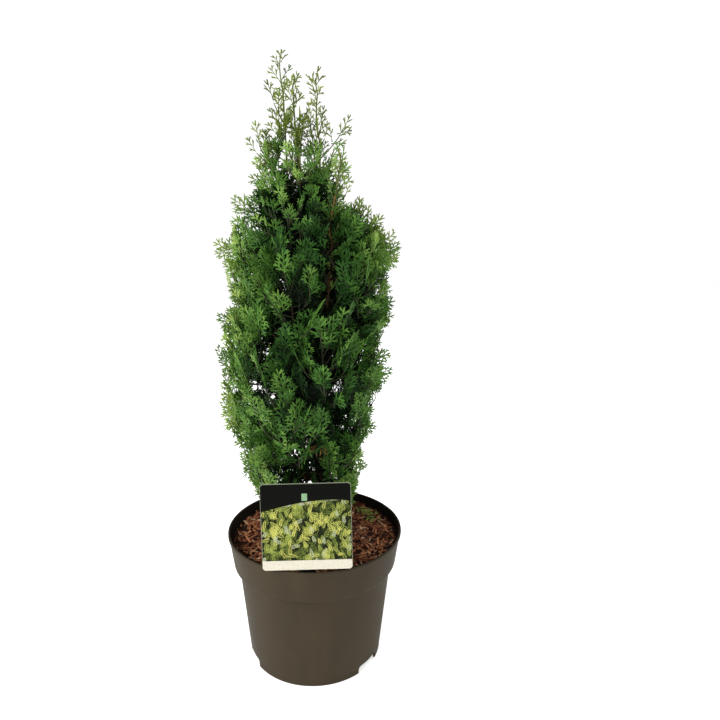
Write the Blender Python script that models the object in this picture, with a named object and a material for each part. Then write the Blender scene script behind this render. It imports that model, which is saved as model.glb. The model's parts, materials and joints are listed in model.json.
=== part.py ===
"""Upright potted thuja: pot, root ball, bark mulch, plant label, trunk, leaders, boughs and foliage masses.

Run with: blender --background --python part.py
Metres, +Z up, origin under the middle of the pot on the surface that it stands on, -Y is the label's side.
"""

import math
import random
from collections import namedtuple

import bmesh
import bpy
from mathutils import Matrix, Vector
from mathutils.bvhtree import BVHTree

# ---------------------------------------------------------------- clearances
CLEAR = 0.0003  # gap that touching pieces keep
WALL_GAP = 0.0004  # gap between the filling and the pot's wall
LIMB_MARGIN = 0.0008  # foliage stays at least this far from every limb
CELL_MARGIN = 0.0008  # foliage stays this far inside its own mass's space

# ---------------------------------------------------------------- pot
POT_SIDES = 36
POT_WALL = 0.0020
RIM_RADIUS = 0.1276
RIM_HEIGHT = 0.1970
LIP_DEPTH = 0.0050
LIP_PROUD = 0.0016
BAND_FOOT_RADIUS = 0.1198
BAND_FOOT_HEIGHT = 0.1480
BODY_TOP_RADIUS = 0.1130
FOOT_RADIUS = 0.0987
FOOT_HEIGHT = 0.0120
FOOT_GROOVE = 0.0009
FOOT_RING = 0.0028  # width of the ring that the pot stands on
EDGE_ROUND = 0.0010
FLOOR_TOP = FOOT_HEIGHT + POT_WALL
STEP_LOW = BAND_FOOT_HEIGHT + 0.0010  # the wall's inside steps out to the band between these heights
STEP_HIGH = BAND_FOOT_HEIGHT + 0.0035
ARCH_AZIMUTHS = (51.0, 171.0, 291.0)  # degrees from the front, anticlockwise from above
ARCH_WIDTH = 0.0420
DRAIN_HOLE_RADIUS = 0.0065
DRAIN_HOLE_RING = 0.0660
DRAIN_HOLES = 6
DRAIN_HOLE_SIDES = 8

# ---------------------------------------------------------------- filling
ROOT_BALL_TOP = 0.1700
MULCH_EDGE_HEIGHT = 0.1835
MULCH_CROWN_HEIGHT = 0.1885
MULCH_ROUGHNESS = 0.0022
MULCH_RINGS = (0.110, 0.090, 0.066, 0.040)
TRUNK_SEAT_RADIUS = 0.0140

# ---------------------------------------------------------------- label
LABEL_WIDTH = 0.1170
LABEL_HEIGHT = 0.1150
LABEL_THICKNESS = 0.0010
LABEL_CORNER = 0.0040
LABEL_FOOT = Vector((-0.0100, -0.1230, 0.2002))
LABEL_LEAN = 7.5
LABEL_TURN = -3.4
LABEL_ROLL = 1.9
STAKE_WIDTH = 0.0220
STAKE_THICKNESS = 0.0016
STAKE_Y = -0.1128
STAKE_BOTTOM = 0.1530
STAKE_TOP_SHARE = 0.56  # of the card's height, behind it
RIB_SIZE = (0.0176, 0.0048, 0.0160)
RIB_SHARE = 0.36  # of the card's height, where the rib joins stake and card

# ---------------------------------------------------------------- trunk and leaders
TRUNK_SIDES = 8
BOUGH_SIDES = 5
TRUNK_PATH = (
    (0.0040, 0.0000, 0.1888),
    (0.0060, 0.0000, 0.3100),
    (0.0030, 0.0010, 0.4500),
    (-0.0080, 0.0030, 0.5800),
    (-0.0180, 0.0000, 0.6800),
    (-0.0220, 0.0000, 0.7400),
)
TRUNK_FOOT_RADIUS = 0.0068
TRUNK_TIP_RADIUS = 0.0009
FLARE_RADIUS = 0.0052  # added at the ground, gone a hand's width up
FLARE_HEIGHT = 0.0160
FLARE_RISES = (0.006, 0.014, 0.030)  # heights over the ground where the flare has rings
TAPER_POWER = 0.85

# Upright leaders: name, where they leave the trunk (share of its length), points above that, foot radius.
LEADERS = (
    (
        "leader_left",
        0.74,
        ((-0.0270, -0.0060, 0.6200), (-0.0330, -0.0050, 0.6700), (-0.0356, -0.0030, 0.7380)),
        0.0024,
    ),
    (
        "leader_right",
        0.62,
        ((0.0050, -0.0070, 0.6000), (0.0080, -0.0050, 0.6600), (0.0082, -0.0020, 0.7380)),
        0.0024,
    ),
    (
        "leader_front",
        0.40,
        ((0.0110, -0.0250, 0.4700), (0.0170, -0.0420, 0.5400), (0.0230, -0.0460, 0.6150)),
        0.0030,
    ),
)

# ---------------------------------------------------------------- crown
# Stations of the crown's outline: height, radius, how far its middle lies from the pot's axis.
CROWN = (
    (0.215, 0.066, 0.000),
    (0.260, 0.087, -0.010),
    (0.310, 0.098, -0.015),
    (0.380, 0.116, -0.0190),
    (0.450, 0.122, -0.012),
    (0.540, 0.118, -0.006),
    (0.610, 0.124, -0.008),
    (0.655, 0.104, -0.010),
    (0.700, 0.080, -0.018),
    (0.745, 0.068, -0.024),
    (0.790, 0.040, -0.022),
    (0.830, 0.030, -0.018),
    (0.846, 0.024, -0.022),
)
# Rings of masses: height of their middle, distance from the crown's axis, number, first azimuth (degrees).
MASS_RINGS = (
    (0.266, 0.045, 3, 60.0),
    (0.350, 0.062, 4, 80.0),
    (0.440, 0.068, 5, 18.0),
    (0.530, 0.066, 5, 54.0),
    (0.618, 0.060, 3, 100.0),
    (0.692, 0.036, 3, 0.0),
)
CELL_FLATTEN = 0.80  # heights count for less than widths when neighbours share out the crown
CORE_DOWN = 0.0340  # a dense mass's core reaches this far below its middle
CORE_SHARE = 0.80  # and this far out to the crown's outline
CORE_REACH = 0.0620  # but no further than this from the middle
CORE_DODGE = 0.88  # corners of a core that touch a limb draw back to this share, again and again
FANS_PER_MASS = 11
FAN_LENGTH = 0.0520
FAN_THICKNESS = 0.0018
FAN_TEETH = 2
FAN_RIB = 0.05  # widths and places on a fan are shares of its length
FIRST_NOTCH = 0.12
NOTCH_STEP = 0.31
TOOTH_LEAN = 0.30
FIRST_TOOTH = 0.34
TOOTH_LOSS = 0.16
LEFT_LAG = 0.03  # the left-hand teeth stand this much further along
TOP_FAN_LENGTH = 0.0420
FAN_SCALES = [1.0 - 0.06 * step for step in range(12)]
REACH_STEP = 0.0020
STEM_RADIUS = 0.0017
STEM_LEAD = 0.0060  # a stem first runs straight on from its limb for this far
BOUGH_RADIUS = 0.0022
BOUGH_END_IN = 0.0120  # a bough ends this far inside its mass's middle, seen from above
BOUGH_END_DOWN = 0.0040  # and this far under the mass's core
BOUGH_BEND = 0.0060  # how far a bough bows out of the straight
BOUGH_DROP = 0.0600  # a bough leaves the trunk this far below its mass's middle
BOUGH_STAGGER = 0.0070  # and each one of a ring so much lower than the one before
LOWEST_BOUGH = 0.0200  # no bough leaves the trunk lower than this over the ground
BOUGH_SWELL = 0.0010  # added to a bough's foot for each metre that it is below the trunk's tip
TWIG_RADIUS = 0.0013
ROOT_SUNK = 0.0060  # a fan's twig runs this far into it
STEM_TOP_OUT = 0.0100  # a dense mass's stem ends this far outside its middle
STEM_TOP_UP = 0.0280  # and this far above it
RISE_LOW = -14.0  # degrees over the level of a mass's lowest fan
RISE_RANGE = 84.0
RISE_POWER = 1.3
RISE_SPREAD = 8.0
ROLL_RANGE = (35.0, 145.0)
SMALLEST_FAN = 0.3  # a fan that would be cut back to less of its length is skipped
GOLDEN = 0.6180339887
SWING = 165.0  # degrees of azimuth that a mass's fans cover
SEED = 4100

# Masses that a leader or the trunk ends in: name, limb, tip of the stem, height of the mass's middle,
# azimuth that its fans face.
TOP_MASSES = (
    ("mass_top_left", "leader_left", (-0.0370, 0.0000, 0.8450), 0.7800, -75.0),
    ("mass_top_middle", "trunk", (-0.0252, 0.0000, 0.8190), 0.7800, 180.0),
    ("mass_top_right", "leader_right", (0.0060, 0.0000, 0.8310), 0.7800, 80.0),
    ("mass_front", "leader_front", (0.0340, -0.0450, 0.7240), 0.6610, 25.0),
)
TOP_SWING = 250.0
TOP_FANS = 9
TOP_FANS_END = 0.86  # share of an airy mass's stem that fans grow on

Mass = namedtuple("Mass", "name middle outward foot ahead top airy")

GREEN_DARK = (0.035, 0.105, 0.025)
GREEN_FRESH = (0.090, 0.205, 0.045)


# ---------------------------------------------------------------- general helpers
def clear_scene():
    for item in list(bpy.data.objects):
        bpy.data.objects.remove(item, do_unlink=True)


def make_material(name, colour, roughness, metallic=0.0):
    material = bpy.data.materials.get(name)
    if material:
        return material
    material = bpy.data.materials.new(name)
    material.use_nodes = True
    shader = material.node_tree.nodes["Principled BSDF"]
    shader.inputs["Base Color"].default_value = (*colour, 1.0)
    shader.inputs["Roughness"].default_value = roughness
    shader.inputs["Metallic"].default_value = metallic
    return material


def add_object(name, mesh_builder, material=None, smooth=False):
    mesh = bpy.data.meshes.new(name)
    mesh_builder.normal_update()
    mesh_builder.to_mesh(mesh)
    mesh_builder.free()
    piece = bpy.data.objects.new(name, mesh)
    bpy.context.scene.collection.objects.link(piece)
    if material:
        mesh.materials.append(material)
    if smooth:
        mesh.shade_smooth()
        mesh.set_sharp_from_angle(angle=math.radians(35.0))
    return piece


def apply_boolean(piece, others, operation, solver="EXACT"):
    """Joins or cuts piece with other objects, applies the result and removes them."""
    group = bpy.data.collections.new(piece.name + "_tools")
    bpy.context.scene.collection.children.link(group)
    for other in others:
        bpy.context.scene.collection.objects.unlink(other)
        group.objects.link(other)
    modifier = piece.modifiers.new("join", "BOOLEAN")
    modifier.operation = operation
    modifier.operand_type = "COLLECTION"
    modifier.collection = group
    modifier.solver = solver
    graph = bpy.context.evaluated_depsgraph_get()
    result = bpy.data.meshes.new_from_object(piece.evaluated_get(graph))
    piece.modifiers.clear()
    piece.data = result
    for other in others:
        bpy.data.objects.remove(other, do_unlink=True)
    bpy.data.collections.remove(group)
    return piece


def keep_largest_shell(piece):
    """Drops loose scraps and sealed hollows that a union leaves."""
    shape = bmesh.new()
    shape.from_mesh(piece.data)
    unseen = set(shape.verts)
    shells = []
    while unseen:
        stack = [unseen.pop()]
        shell = set(stack)
        while stack:
            for edge in stack.pop().link_edges:
                for vertex in edge.verts:
                    if vertex in unseen:
                        unseen.discard(vertex)
                        shell.add(vertex)
                        stack.append(vertex)
        shells.append(shell)
    shells.sort(key=len)
    for shell in shells[:-1]:
        bmesh.ops.delete(shape, geom=list(shell), context="VERTS")
    shape.to_mesh(piece.data)
    shape.free()


def smooth_path(points, steps):
    """Points on a Catmull-Rom curve through the given ones."""
    points = [Vector(p) for p in points]
    padded = [2 * points[0] - points[1], *points, 2 * points[-1] - points[-2]]
    path = []
    for i in range(len(points) - 1):
        a, b, c, d = padded[i : i + 4]
        for step in range(steps):
            t = step / steps
            squared = (2 * a - 5 * b + 4 * c - d) * t**2
            cubed = (3 * b - a - 3 * c + d) * t**3
            path.append(0.5 * (2 * b + (c - a) * t + squared + cubed))
    path.append(points[-1])
    return path


def tube(path, radii, sides):
    """A closed tapering tube along a path, as a bmesh."""
    shape = bmesh.new()
    rings = []
    across = Vector((1.0, 0.0, 0.0))
    for i, point in enumerate(path):
        ahead = path[min(i + 1, len(path) - 1)] - path[max(i - 1, 0)]
        ahead.normalize()
        across = (across - ahead * across.dot(ahead)).normalized()
        beside = ahead.cross(across)
        ring = []
        for side in range(sides):
            turn = 2 * math.pi * side / sides
            spoke = across * math.cos(turn) + beside * math.sin(turn)
            ring.append(shape.verts.new(point + spoke * radii[i]))
        rings.append(ring)
    for low, high in zip(rings, rings[1:]):
        for side in range(sides):
            after = (side + 1) % sides
            shape.faces.new((low[side], low[after], high[after], high[side]))
    shape.faces.new(reversed(rings[0]))
    shape.faces.new(rings[-1])
    return shape


def revolve(profile, sides):
    """A closed solid turned from (radius, height) points; points on the axis become poles."""
    shape = bmesh.new()
    verts = [shape.verts.new((radius, 0.0, height)) for radius, height in profile]
    edges = [shape.edges.new((verts[i], verts[i + 1])) for i in range(len(verts) - 1)]
    if profile[0][0] > 0 and profile[-1][0] > 0:
        edges.append(shape.edges.new((verts[-1], verts[0])))
    bmesh.ops.spin(
        shape,
        geom=verts + edges,
        cent=(0.0, 0.0, 0.0),
        axis=(0.0, 0.0, 1.0),
        angle=2 * math.pi,
        steps=sides,
        use_merge=True,
    )
    bmesh.ops.remove_doubles(shape, verts=shape.verts, dist=0.00001)
    bmesh.ops.recalc_face_normals(shape, faces=shape.faces)
    return shape


def box(size, place):
    shape = bmesh.new()
    bmesh.ops.create_cube(shape, size=1.0)
    bmesh.ops.scale(shape, vec=size, verts=shape.verts)
    shape.transform(place)
    return shape


def cylinder(radius, depth, sides, place):
    shape = bmesh.new()
    bmesh.ops.create_cone(
        shape, cap_ends=True, segments=sides, radius1=radius, radius2=radius, depth=depth
    )
    shape.transform(place)
    return shape


def interpolate(stations, height):
    """Reads the columns of a list of (height, value, ...) rows at one height."""
    if height <= stations[0][0]:
        return stations[0][1:]
    for low, high in zip(stations, stations[1:]):
        if height <= high[0]:
            share = (height - low[0]) / (high[0] - low[0])
            return tuple(a + (b - a) * share for a, b in zip(low[1:], high[1:]))
    return stations[-1][1:]


# ---------------------------------------------------------------- pot and filling
# Height and inside radius of the pot's wall, from its floor to its rim.
INNER_WALL = (
    (FLOOR_TOP, FOOT_RADIUS + FOOT_GROOVE - POT_WALL),
    (STEP_LOW, BODY_TOP_RADIUS - POT_WALL),
    (STEP_HIGH, BAND_FOOT_RADIUS - POT_WALL),
    (RIM_HEIGHT, RIM_RADIUS - LIP_PROUD - POT_WALL),
)


def inner_wall_radius(height):
    return interpolate(INNER_WALL, height)[0]


def build_pot():
    lip_foot = RIM_HEIGHT - LIP_DEPTH
    profile = [
        (0.0, FOOT_HEIGHT),
        (FOOT_RADIUS - FOOT_RING, FOOT_HEIGHT),
        (FOOT_RADIUS - FOOT_RING, 0.0),
        (FOOT_RADIUS, 0.0),
        (FOOT_RADIUS, FOOT_HEIGHT - 0.0010),
        (FOOT_RADIUS + FOOT_GROOVE, FOOT_HEIGHT + 0.0006),
        (BODY_TOP_RADIUS, BAND_FOOT_HEIGHT - 0.0020),
        (BAND_FOOT_RADIUS - EDGE_ROUND, BAND_FOOT_HEIGHT - 0.0006),
        (BAND_FOOT_RADIUS, BAND_FOOT_HEIGHT + EDGE_ROUND),
        (RIM_RADIUS - LIP_PROUD, lip_foot),
        (RIM_RADIUS, lip_foot + EDGE_ROUND),
        (RIM_RADIUS, RIM_HEIGHT - EDGE_ROUND),
        (RIM_RADIUS - EDGE_ROUND, RIM_HEIGHT),
        *[(radius, height) for height, radius in reversed(INNER_WALL)],
        (0.0, FLOOR_TOP),
    ]
    plastic = make_material("pot_plastic", (0.115, 0.098, 0.072), 0.42)
    pot = add_object("pot", revolve(profile, POT_SIDES), plastic, smooth=True)
    cutters = []
    for azimuth in ARCH_AZIMUTHS:
        turn = Matrix.Rotation(math.radians(azimuth - 90.0), 4, "Z")
        low = Matrix.Translation((FOOT_RADIUS - 0.002, 0.0, 0.0))
        body = box((0.012, ARCH_WIDTH, 0.0150), turn @ low)
        cutters.append(add_object("arch_low", body))
        high = Matrix.Translation((FOOT_RADIUS - 0.002, 0.0, 0.0035))
        crown = box((0.012, ARCH_WIDTH * 0.72, 0.0150), turn @ high)
        cutters.append(add_object("arch_high", crown))
    for hole in range(DRAIN_HOLES):
        turn = Matrix.Rotation(2 * math.pi * (hole + 0.5) / DRAIN_HOLES, 4, "Z")
        place = turn @ Matrix.Translation((DRAIN_HOLE_RING, 0.0, FLOOR_TOP))
        cutters.append(add_object("drain", cylinder(DRAIN_HOLE_RADIUS, 0.012, DRAIN_HOLE_SIDES, place)))
    apply_boolean(pot, cutters, "DIFFERENCE")
    return pot


def stake_slot():
    """The pocket that the label's stake leaves in the filling."""
    size = (STAKE_WIDTH + 2 * CLEAR, STAKE_THICKNESS + 2 * CLEAR, 0.0800)
    place = Matrix.Translation((LABEL_FOOT.x, STAKE_Y, STAKE_BOTTOM - CLEAR + 0.0400))
    return add_object("slot", box(size, place))


def wall_side(height):
    """Radius of the filling at a height, just inside the pot's wall."""
    return inner_wall_radius(height) - WALL_GAP


def build_filling():
    soil = make_material("potting_soil", (0.030, 0.018, 0.010), 0.95)
    bark = make_material("bark_mulch", (0.160, 0.060, 0.028), 0.85)
    profile = [(0.0, FLOOR_TOP + CLEAR), (wall_side(FLOOR_TOP), FLOOR_TOP + CLEAR)]
    profile += [(wall_side(height), height + CLEAR) for height in (STEP_LOW, STEP_HIGH)]
    profile += [(wall_side(ROOT_BALL_TOP), ROOT_BALL_TOP), (0.0, ROOT_BALL_TOP)]
    root_ball = add_object("root_ball", revolve(profile, POT_SIDES), soil)
    apply_boolean(root_ball, [stake_slot()], "DIFFERENCE")

    low = ROOT_BALL_TOP + CLEAR
    rise = MULCH_CROWN_HEIGHT - MULCH_EDGE_HEIGHT
    seat = MULCH_CROWN_HEIGHT - CLEAR
    profile = [(0.0, low), (wall_side(low), low), (wall_side(MULCH_EDGE_HEIGHT), MULCH_EDGE_HEIGHT)]
    profile += [(ring, MULCH_EDGE_HEIGHT + rise * (1.0 - ring / RIM_RADIUS)) for ring in MULCH_RINGS]
    profile += [(TRUNK_SEAT_RADIUS, seat), (0.0, seat)]
    shape = revolve(profile, POT_SIDES)
    rng = random.Random(SEED)
    for vertex in shape.verts:
        reach = math.hypot(vertex.co.x, vertex.co.y)
        if vertex.co.z > low + 0.005 and TRUNK_SEAT_RADIUS + 0.004 < reach < MULCH_RINGS[0] + 0.005:
            vertex.co.z += rng.uniform(-MULCH_ROUGHNESS, MULCH_ROUGHNESS)
    mulch = add_object("bark_mulch", shape, bark)
    apply_boolean(mulch, [stake_slot()], "DIFFERENCE")


# ---------------------------------------------------------------- label
def label_frame():
    """Places the label's local axes: X across, Z up the card, Y through it, foot's middle at the origin."""
    return (
        Matrix.Translation(LABEL_FOOT)
        @ Matrix.Rotation(math.radians(LABEL_TURN), 4, "Z")
        @ Matrix.Rotation(math.radians(-LABEL_LEAN), 4, "X")
        @ Matrix.Rotation(math.radians(-LABEL_ROLL), 4, "Y")
    )


def build_label():
    plastic = make_material("label_card", (0.62, 0.66, 0.50), 0.35)
    shape = box(
        (LABEL_WIDTH, LABEL_THICKNESS, LABEL_HEIGHT), Matrix.Translation((0.0, 0.0, LABEL_HEIGHT / 2))
    )
    corners = [
        e for e in shape.edges if abs((e.verts[0].co - e.verts[1].co).normalized().y) > 0.9
    ]
    bmesh.ops.bevel(
        shape, geom=corners, offset=LABEL_CORNER, segments=3, profile=0.5, affect="EDGES", material=-1
    )
    shape.transform(label_frame())
    label = add_object("plant_label", shape, plastic)

    # The stake drops straight down behind the card and is welded to its back by a rib.
    top = LABEL_FOOT.z + LABEL_HEIGHT * STAKE_TOP_SHARE
    height = top - STAKE_BOTTOM
    stake = box(
        (STAKE_WIDTH, STAKE_THICKNESS, height),
        Matrix.Translation((LABEL_FOOT.x, STAKE_Y, STAKE_BOTTOM + height / 2)),
    )
    rib_middle = Matrix.Translation((0.0, RIB_SIZE[1] / 2, LABEL_HEIGHT * RIB_SHARE))
    rib = box(RIB_SIZE, label_frame() @ rib_middle)
    apply_boolean(label, [add_object("stake", stake), add_object("rib", rib)], "UNION")
    keep_largest_shell(label)


# ---------------------------------------------------------------- trunk, leaders and boughs
def trunk_line():
    return smooth_path(TRUNK_PATH, 3)


def trunk_radius(height):
    low, high = TRUNK_PATH[0][2], TRUNK_PATH[-1][2]
    share = min(1.0, max(0.0, (height - low) / (high - low)))
    taper = TRUNK_TIP_RADIUS + (TRUNK_FOOT_RADIUS - TRUNK_TIP_RADIUS) * (1.0 - share) ** TAPER_POWER
    return taper + FLARE_RADIUS * math.exp(-(height - low) / FLARE_HEIGHT)


def trunk_point(height):
    """Point on the trunk's line at a height."""
    line = trunk_line()
    for low, high in zip(line, line[1:]):
        if height <= high.z:
            return low.lerp(high, (height - low.z) / (high.z - low.z))
    return line[-1]


def trunk_tube(grow=0.0):
    line = trunk_line()
    flare = [trunk_point(line[0].z + rise) for rise in FLARE_RISES]
    line = [line[0], *flare, *line[1:]]
    return tube(line, [trunk_radius(p.z) + grow for p in line], TRUNK_SIDES)


def leader_line(share, points):
    """A leader leaves the trunk at a share of the trunk's length and passes through the points."""
    low, high = TRUNK_PATH[0][2], TRUNK_PATH[-1][2]
    start = trunk_point(low + (high - low) * share)
    return smooth_path((start, *points), 3)


def tapered(foot_radius, tip_radius, count, grow=0.0):
    return [foot_radius + (tip_radius - foot_radius) * (i / (count - 1)) + grow for i in range(count)]


def crown_middle(height):
    radius, offset = interpolate(CROWN, height)
    return Vector((offset, 0.0, height)), radius


def ring_masses():
    """Name, middle, outward direction and bough's line of each mass in the rings."""
    masses = []
    for ring, (height, distance, count, first) in enumerate(MASS_RINGS):
        for k in range(count):
            turn = math.radians(first + 360.0 * k / count)
            outward = Vector((math.sin(turn), -math.cos(turn), 0.0))
            middle = crown_middle(height)[0] + outward * distance
            name = f"mass_{ring + 1}_{'abcdef'[k]}"
            masses.append((name, middle, outward, bough_line(middle, outward, k)))
    return masses


def bough_line(middle, outward, rank):
    """A bough leaves the trunk below its mass, runs out and turns up to the mass's inner foot."""
    start_height = middle.z - BOUGH_DROP - BOUGH_STAGGER * rank
    start = trunk_point(max(start_height, TRUNK_PATH[0][2] + LOWEST_BOUGH))
    end = middle - outward * BOUGH_END_IN - Vector((0.0, 0.0, CORE_DOWN + BOUGH_END_DOWN))
    bend = start.lerp(end, 0.55) + outward * BOUGH_BEND - Vector((0.0, 0.0, BOUGH_BEND * 0.7))
    return smooth_path((start, bend, end), 2)


def bough_foot_radius(height):
    """Low boughs are a little thicker where they leave the trunk."""
    return BOUGH_RADIUS + BOUGH_SWELL * (TRUNK_PATH[-1][2] - height)


def polygons(shape):
    """Vertices and faces of a bmesh, for a tree of its surface."""
    shape.verts.ensure_lookup_table()
    shape.verts.index_update()
    return [v.co.copy() for v in shape.verts], [[v.index for v in f.verts] for f in shape.faces]


def surface_tree(shapes):
    points, faces = [], []
    for shape in shapes:
        more, more_faces = polygons(shape)
        faces += [[i + len(points) for i in face] for face in more_faces]
        points += more
        shape.free()
    return BVHTree.FromPolygons(points, faces)


def build_limbs():
    """Makes the trunk, the leaders and the boughs, and returns the grown surface that foliage keeps off."""
    bark = make_material("thuja_bark", (0.170, 0.085, 0.040), 0.85)
    add_object("trunk", trunk_tube(), bark, smooth=True)
    limbs = [(name, leader_line(share, points), foot) for name, share, points, foot in LEADERS]
    for name, _, _, line in ring_masses():
        limbs.append((name.replace("mass", "bough"), line, bough_foot_radius(line[0].z)))
    grown = [trunk_tube(LIMB_MARGIN)]
    for name, line, foot in limbs:
        tip = TRUNK_TIP_RADIUS if name.startswith("leader") else STEM_RADIUS
        shape = tube(line, tapered(foot, tip, len(line)), BOUGH_SIDES)
        limb = add_object(name, shape, bark, smooth=True)
        apply_boolean(limb, [add_object("clearance", trunk_tube(CLEAR))], "DIFFERENCE")
        keep_largest_shell(limb)
        grown.append(tube(line, tapered(foot, tip, len(line), LIMB_MARGIN), BOUGH_SIDES))
    return surface_tree(grown)


# ---------------------------------------------------------------- foliage
def fan_outline(length):
    """Outline of a thuja spray: a blade with forward-leaning teeth on each side of a leading shoot."""
    right = []
    for tooth in range(FAN_TEETH):
        notch = FIRST_NOTCH + NOTCH_STEP * tooth
        reach = FIRST_TOOTH - TOOTH_LOSS * tooth
        right += [(notch * length, FAN_RIB * length), ((notch + TOOTH_LEAN) * length, reach * length)]
    left = [(u + LEFT_LAG * length, -v) for u, v in reversed(right)]
    return [*right, (length, 0.0), *left]


def fan_shape(length, place):
    shape = bmesh.new()
    outline = fan_outline(length)
    half = FAN_THICKNESS / 2
    low = [shape.verts.new((u, v, -half)) for u, v in outline]
    high = [shape.verts.new((u, v, half)) for u, v in outline]
    shape.faces.new(reversed(low))
    shape.faces.new(high)
    for i in range(len(outline)):
        after = (i + 1) % len(outline)
        shape.faces.new((low[i], low[after], high[after], high[i]))
    shape.transform(place)
    bmesh.ops.recalc_face_normals(shape, faces=shape.faces)
    return shape


def frame_along(ahead, roll):
    """Rotation whose X runs ahead, with its Y turned by roll from the level."""
    ahead = ahead.normalized()
    level = Vector((0.0, 0.0, 1.0)).cross(ahead)
    if level.length < 0.05:
        level = Vector((1.0, 0.0, 0.0)).cross(ahead)
    level.normalize()
    normal = ahead.cross(level)
    across = level * math.cos(roll) + normal * math.sin(roll)
    normal = ahead.cross(across)
    return Matrix((ahead, across, normal)).transposed().to_4x4()


def outside_cell(point, middle, others):
    """True if a point is nearer to another mass than to its own, or too near the border."""
    squeeze = Vector((1.0, 1.0, CELL_FLATTEN**2))
    for other in others:
        normal = (other - middle) * squeeze
        border = (other + middle) / 2
        if (point - border).dot(normal) / normal.length > -CELL_MARGIN:
            return True
    return False


def outside_crown(point):
    middle, radius = crown_middle(point.z)
    return (point - middle).length > radius or point.z > CROWN[-1][0] or point.z < CROWN[0][0]


def fits(shape, middle, others, limbs):
    points, faces = polygons(shape)
    if any(outside_cell(p, middle, others) or outside_crown(p) for p in points):
        return False
    return not BVHTree.FromPolygons(points, faces).overlap(limbs)


def reach_along(root, ahead, middle, others):
    """How far a straight line from root stays in a mass's space."""
    reach = 0.0
    while True:
        point = root + ahead * (reach + REACH_STEP)
        if outside_cell(point, middle, others) or outside_crown(point):
            return reach
        reach += REACH_STEP


def mass_fans(rng, stem_foot, stem_top, outward, count, swing_range):
    """Root, direction and roll of each fan of a mass, from its lowest to its topmost."""
    fans = []
    for k in range(count):
        share = k / (count - 1)
        root = stem_foot.lerp(stem_top, 0.12 + 0.80 * share)
        swing = math.radians(((k * GOLDEN) % 1.0 - 0.5) * swing_range * (1.0 - 0.2 * share))
        side = Matrix.Rotation(swing, 3, "Z") @ outward
        spread = rng.uniform(-RISE_SPREAD, RISE_SPREAD)
        rise = math.radians(RISE_LOW + RISE_RANGE * share**RISE_POWER + spread)
        ahead = side * math.cos(rise) + Vector((0.0, 0.0, math.sin(rise)))
        roll = math.radians(rng.uniform(*ROLL_RANGE))
        fans.append((root, ahead, roll))
    return fans


def twig_shape(start, end):
    return tube([start, end], [TWIG_RADIUS, TWIG_RADIUS * 0.6], 3)


def grow_fans(fans, length, middle, others, limbs):
    """Objects for each fan and its twig, at the furthest reach that stays in the mass's space."""
    parts = []
    for root, ahead, roll in fans:
        furthest = reach_along(root, ahead, middle, others)
        for scale in FAN_SCALES:
            reach = furthest * scale
            size = min(length, reach)
            if size < length * SMALLEST_FAN:
                break
            fan_root = root + ahead * (reach - size)
            fan = fan_shape(size, Matrix.Translation(fan_root) @ frame_along(ahead, roll))
            twig = twig_shape(root - ahead * STEM_RADIUS / 2, fan_root + ahead * ROOT_SUNK)
            if fits(fan, middle, others, limbs) and fits(twig, middle, others, limbs):
                parts.append(add_object("fan", fan))
                parts.append(add_object("twig", twig))
                break
            fan.free()
            twig.free()
    return parts


def core_shape(middle, others, limbs):
    """The closed heart of a dense mass: it fills most of the mass's space and draws back from limbs."""
    shape = bmesh.new()
    bmesh.ops.create_icosphere(shape, subdivisions=1, radius=1.0)
    for vertex in shape.verts:
        ahead = vertex.co.normalized()
        reach = min(CORE_REACH, reach_along(middle, ahead, middle, others) * CORE_SHARE)
        if ahead.z < 0:
            reach = min(reach, CORE_DOWN / -ahead.z)
        vertex.co = middle + ahead * reach
    while True:
        points, faces = polygons(shape)
        touching = {index for index, _ in BVHTree.FromPolygons(points, faces).overlap(limbs)}
        if not touching:
            return shape
        corners = {corner for index in touching for corner in faces[index]}
        shape.verts.ensure_lookup_table()
        for corner in corners:
            vertex = shape.verts[corner]
            vertex.co = middle + (vertex.co - middle) * CORE_DODGE


def fuse_mass(name, stem, parts, material):
    mass = add_object(name, stem)
    apply_boolean(mass, parts, "UNION")
    keep_largest_shell(mass)
    mass.data.materials.clear()
    mass.data.materials.append(material)


def stem_tube(foot, ahead, top):
    """A mass's own stem: on from its limb's end at foot, then up to its top."""
    lead = foot + ahead * STEM_LEAD
    radii = [STEM_RADIUS * share for share in (1.0, 0.95, 0.75, 0.5)]
    return tube([foot, lead, lead.lerp(top, 0.5), top], radii, 3)


def limb_end(line):
    """Where a stem starts on from a limb, and the way that it runs."""
    ahead = (line[-1] - line[-2]).normalized()
    return line[-1] + ahead * CLEAR, ahead


def all_masses():
    """Every mass: dense ones at the ends of the boughs, airy ones on the trunk and the leaders."""
    masses = []
    for name, middle, outward, line in ring_masses():
        foot, ahead = limb_end(line)
        top = middle + outward * STEM_TOP_OUT + Vector((0.0, 0.0, STEM_TOP_UP))
        masses.append(Mass(name, middle, outward, foot, ahead, top, airy=False))
    lines = {name: leader_line(share, points) for name, share, points, _ in LEADERS}
    lines["trunk"] = trunk_line()
    for name, limb, tip, height, azimuth in TOP_MASSES:
        foot, ahead = limb_end(lines[limb])
        tip = Vector(tip)
        middle = foot.lerp(tip, (height - foot.z) / (tip.z - foot.z))
        outward = Matrix.Rotation(math.radians(azimuth), 3, "Z") @ Vector((0.0, -1.0, 0.0))
        masses.append(Mass(name, middle, outward, foot, ahead, tip, airy=True))
    return masses


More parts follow.
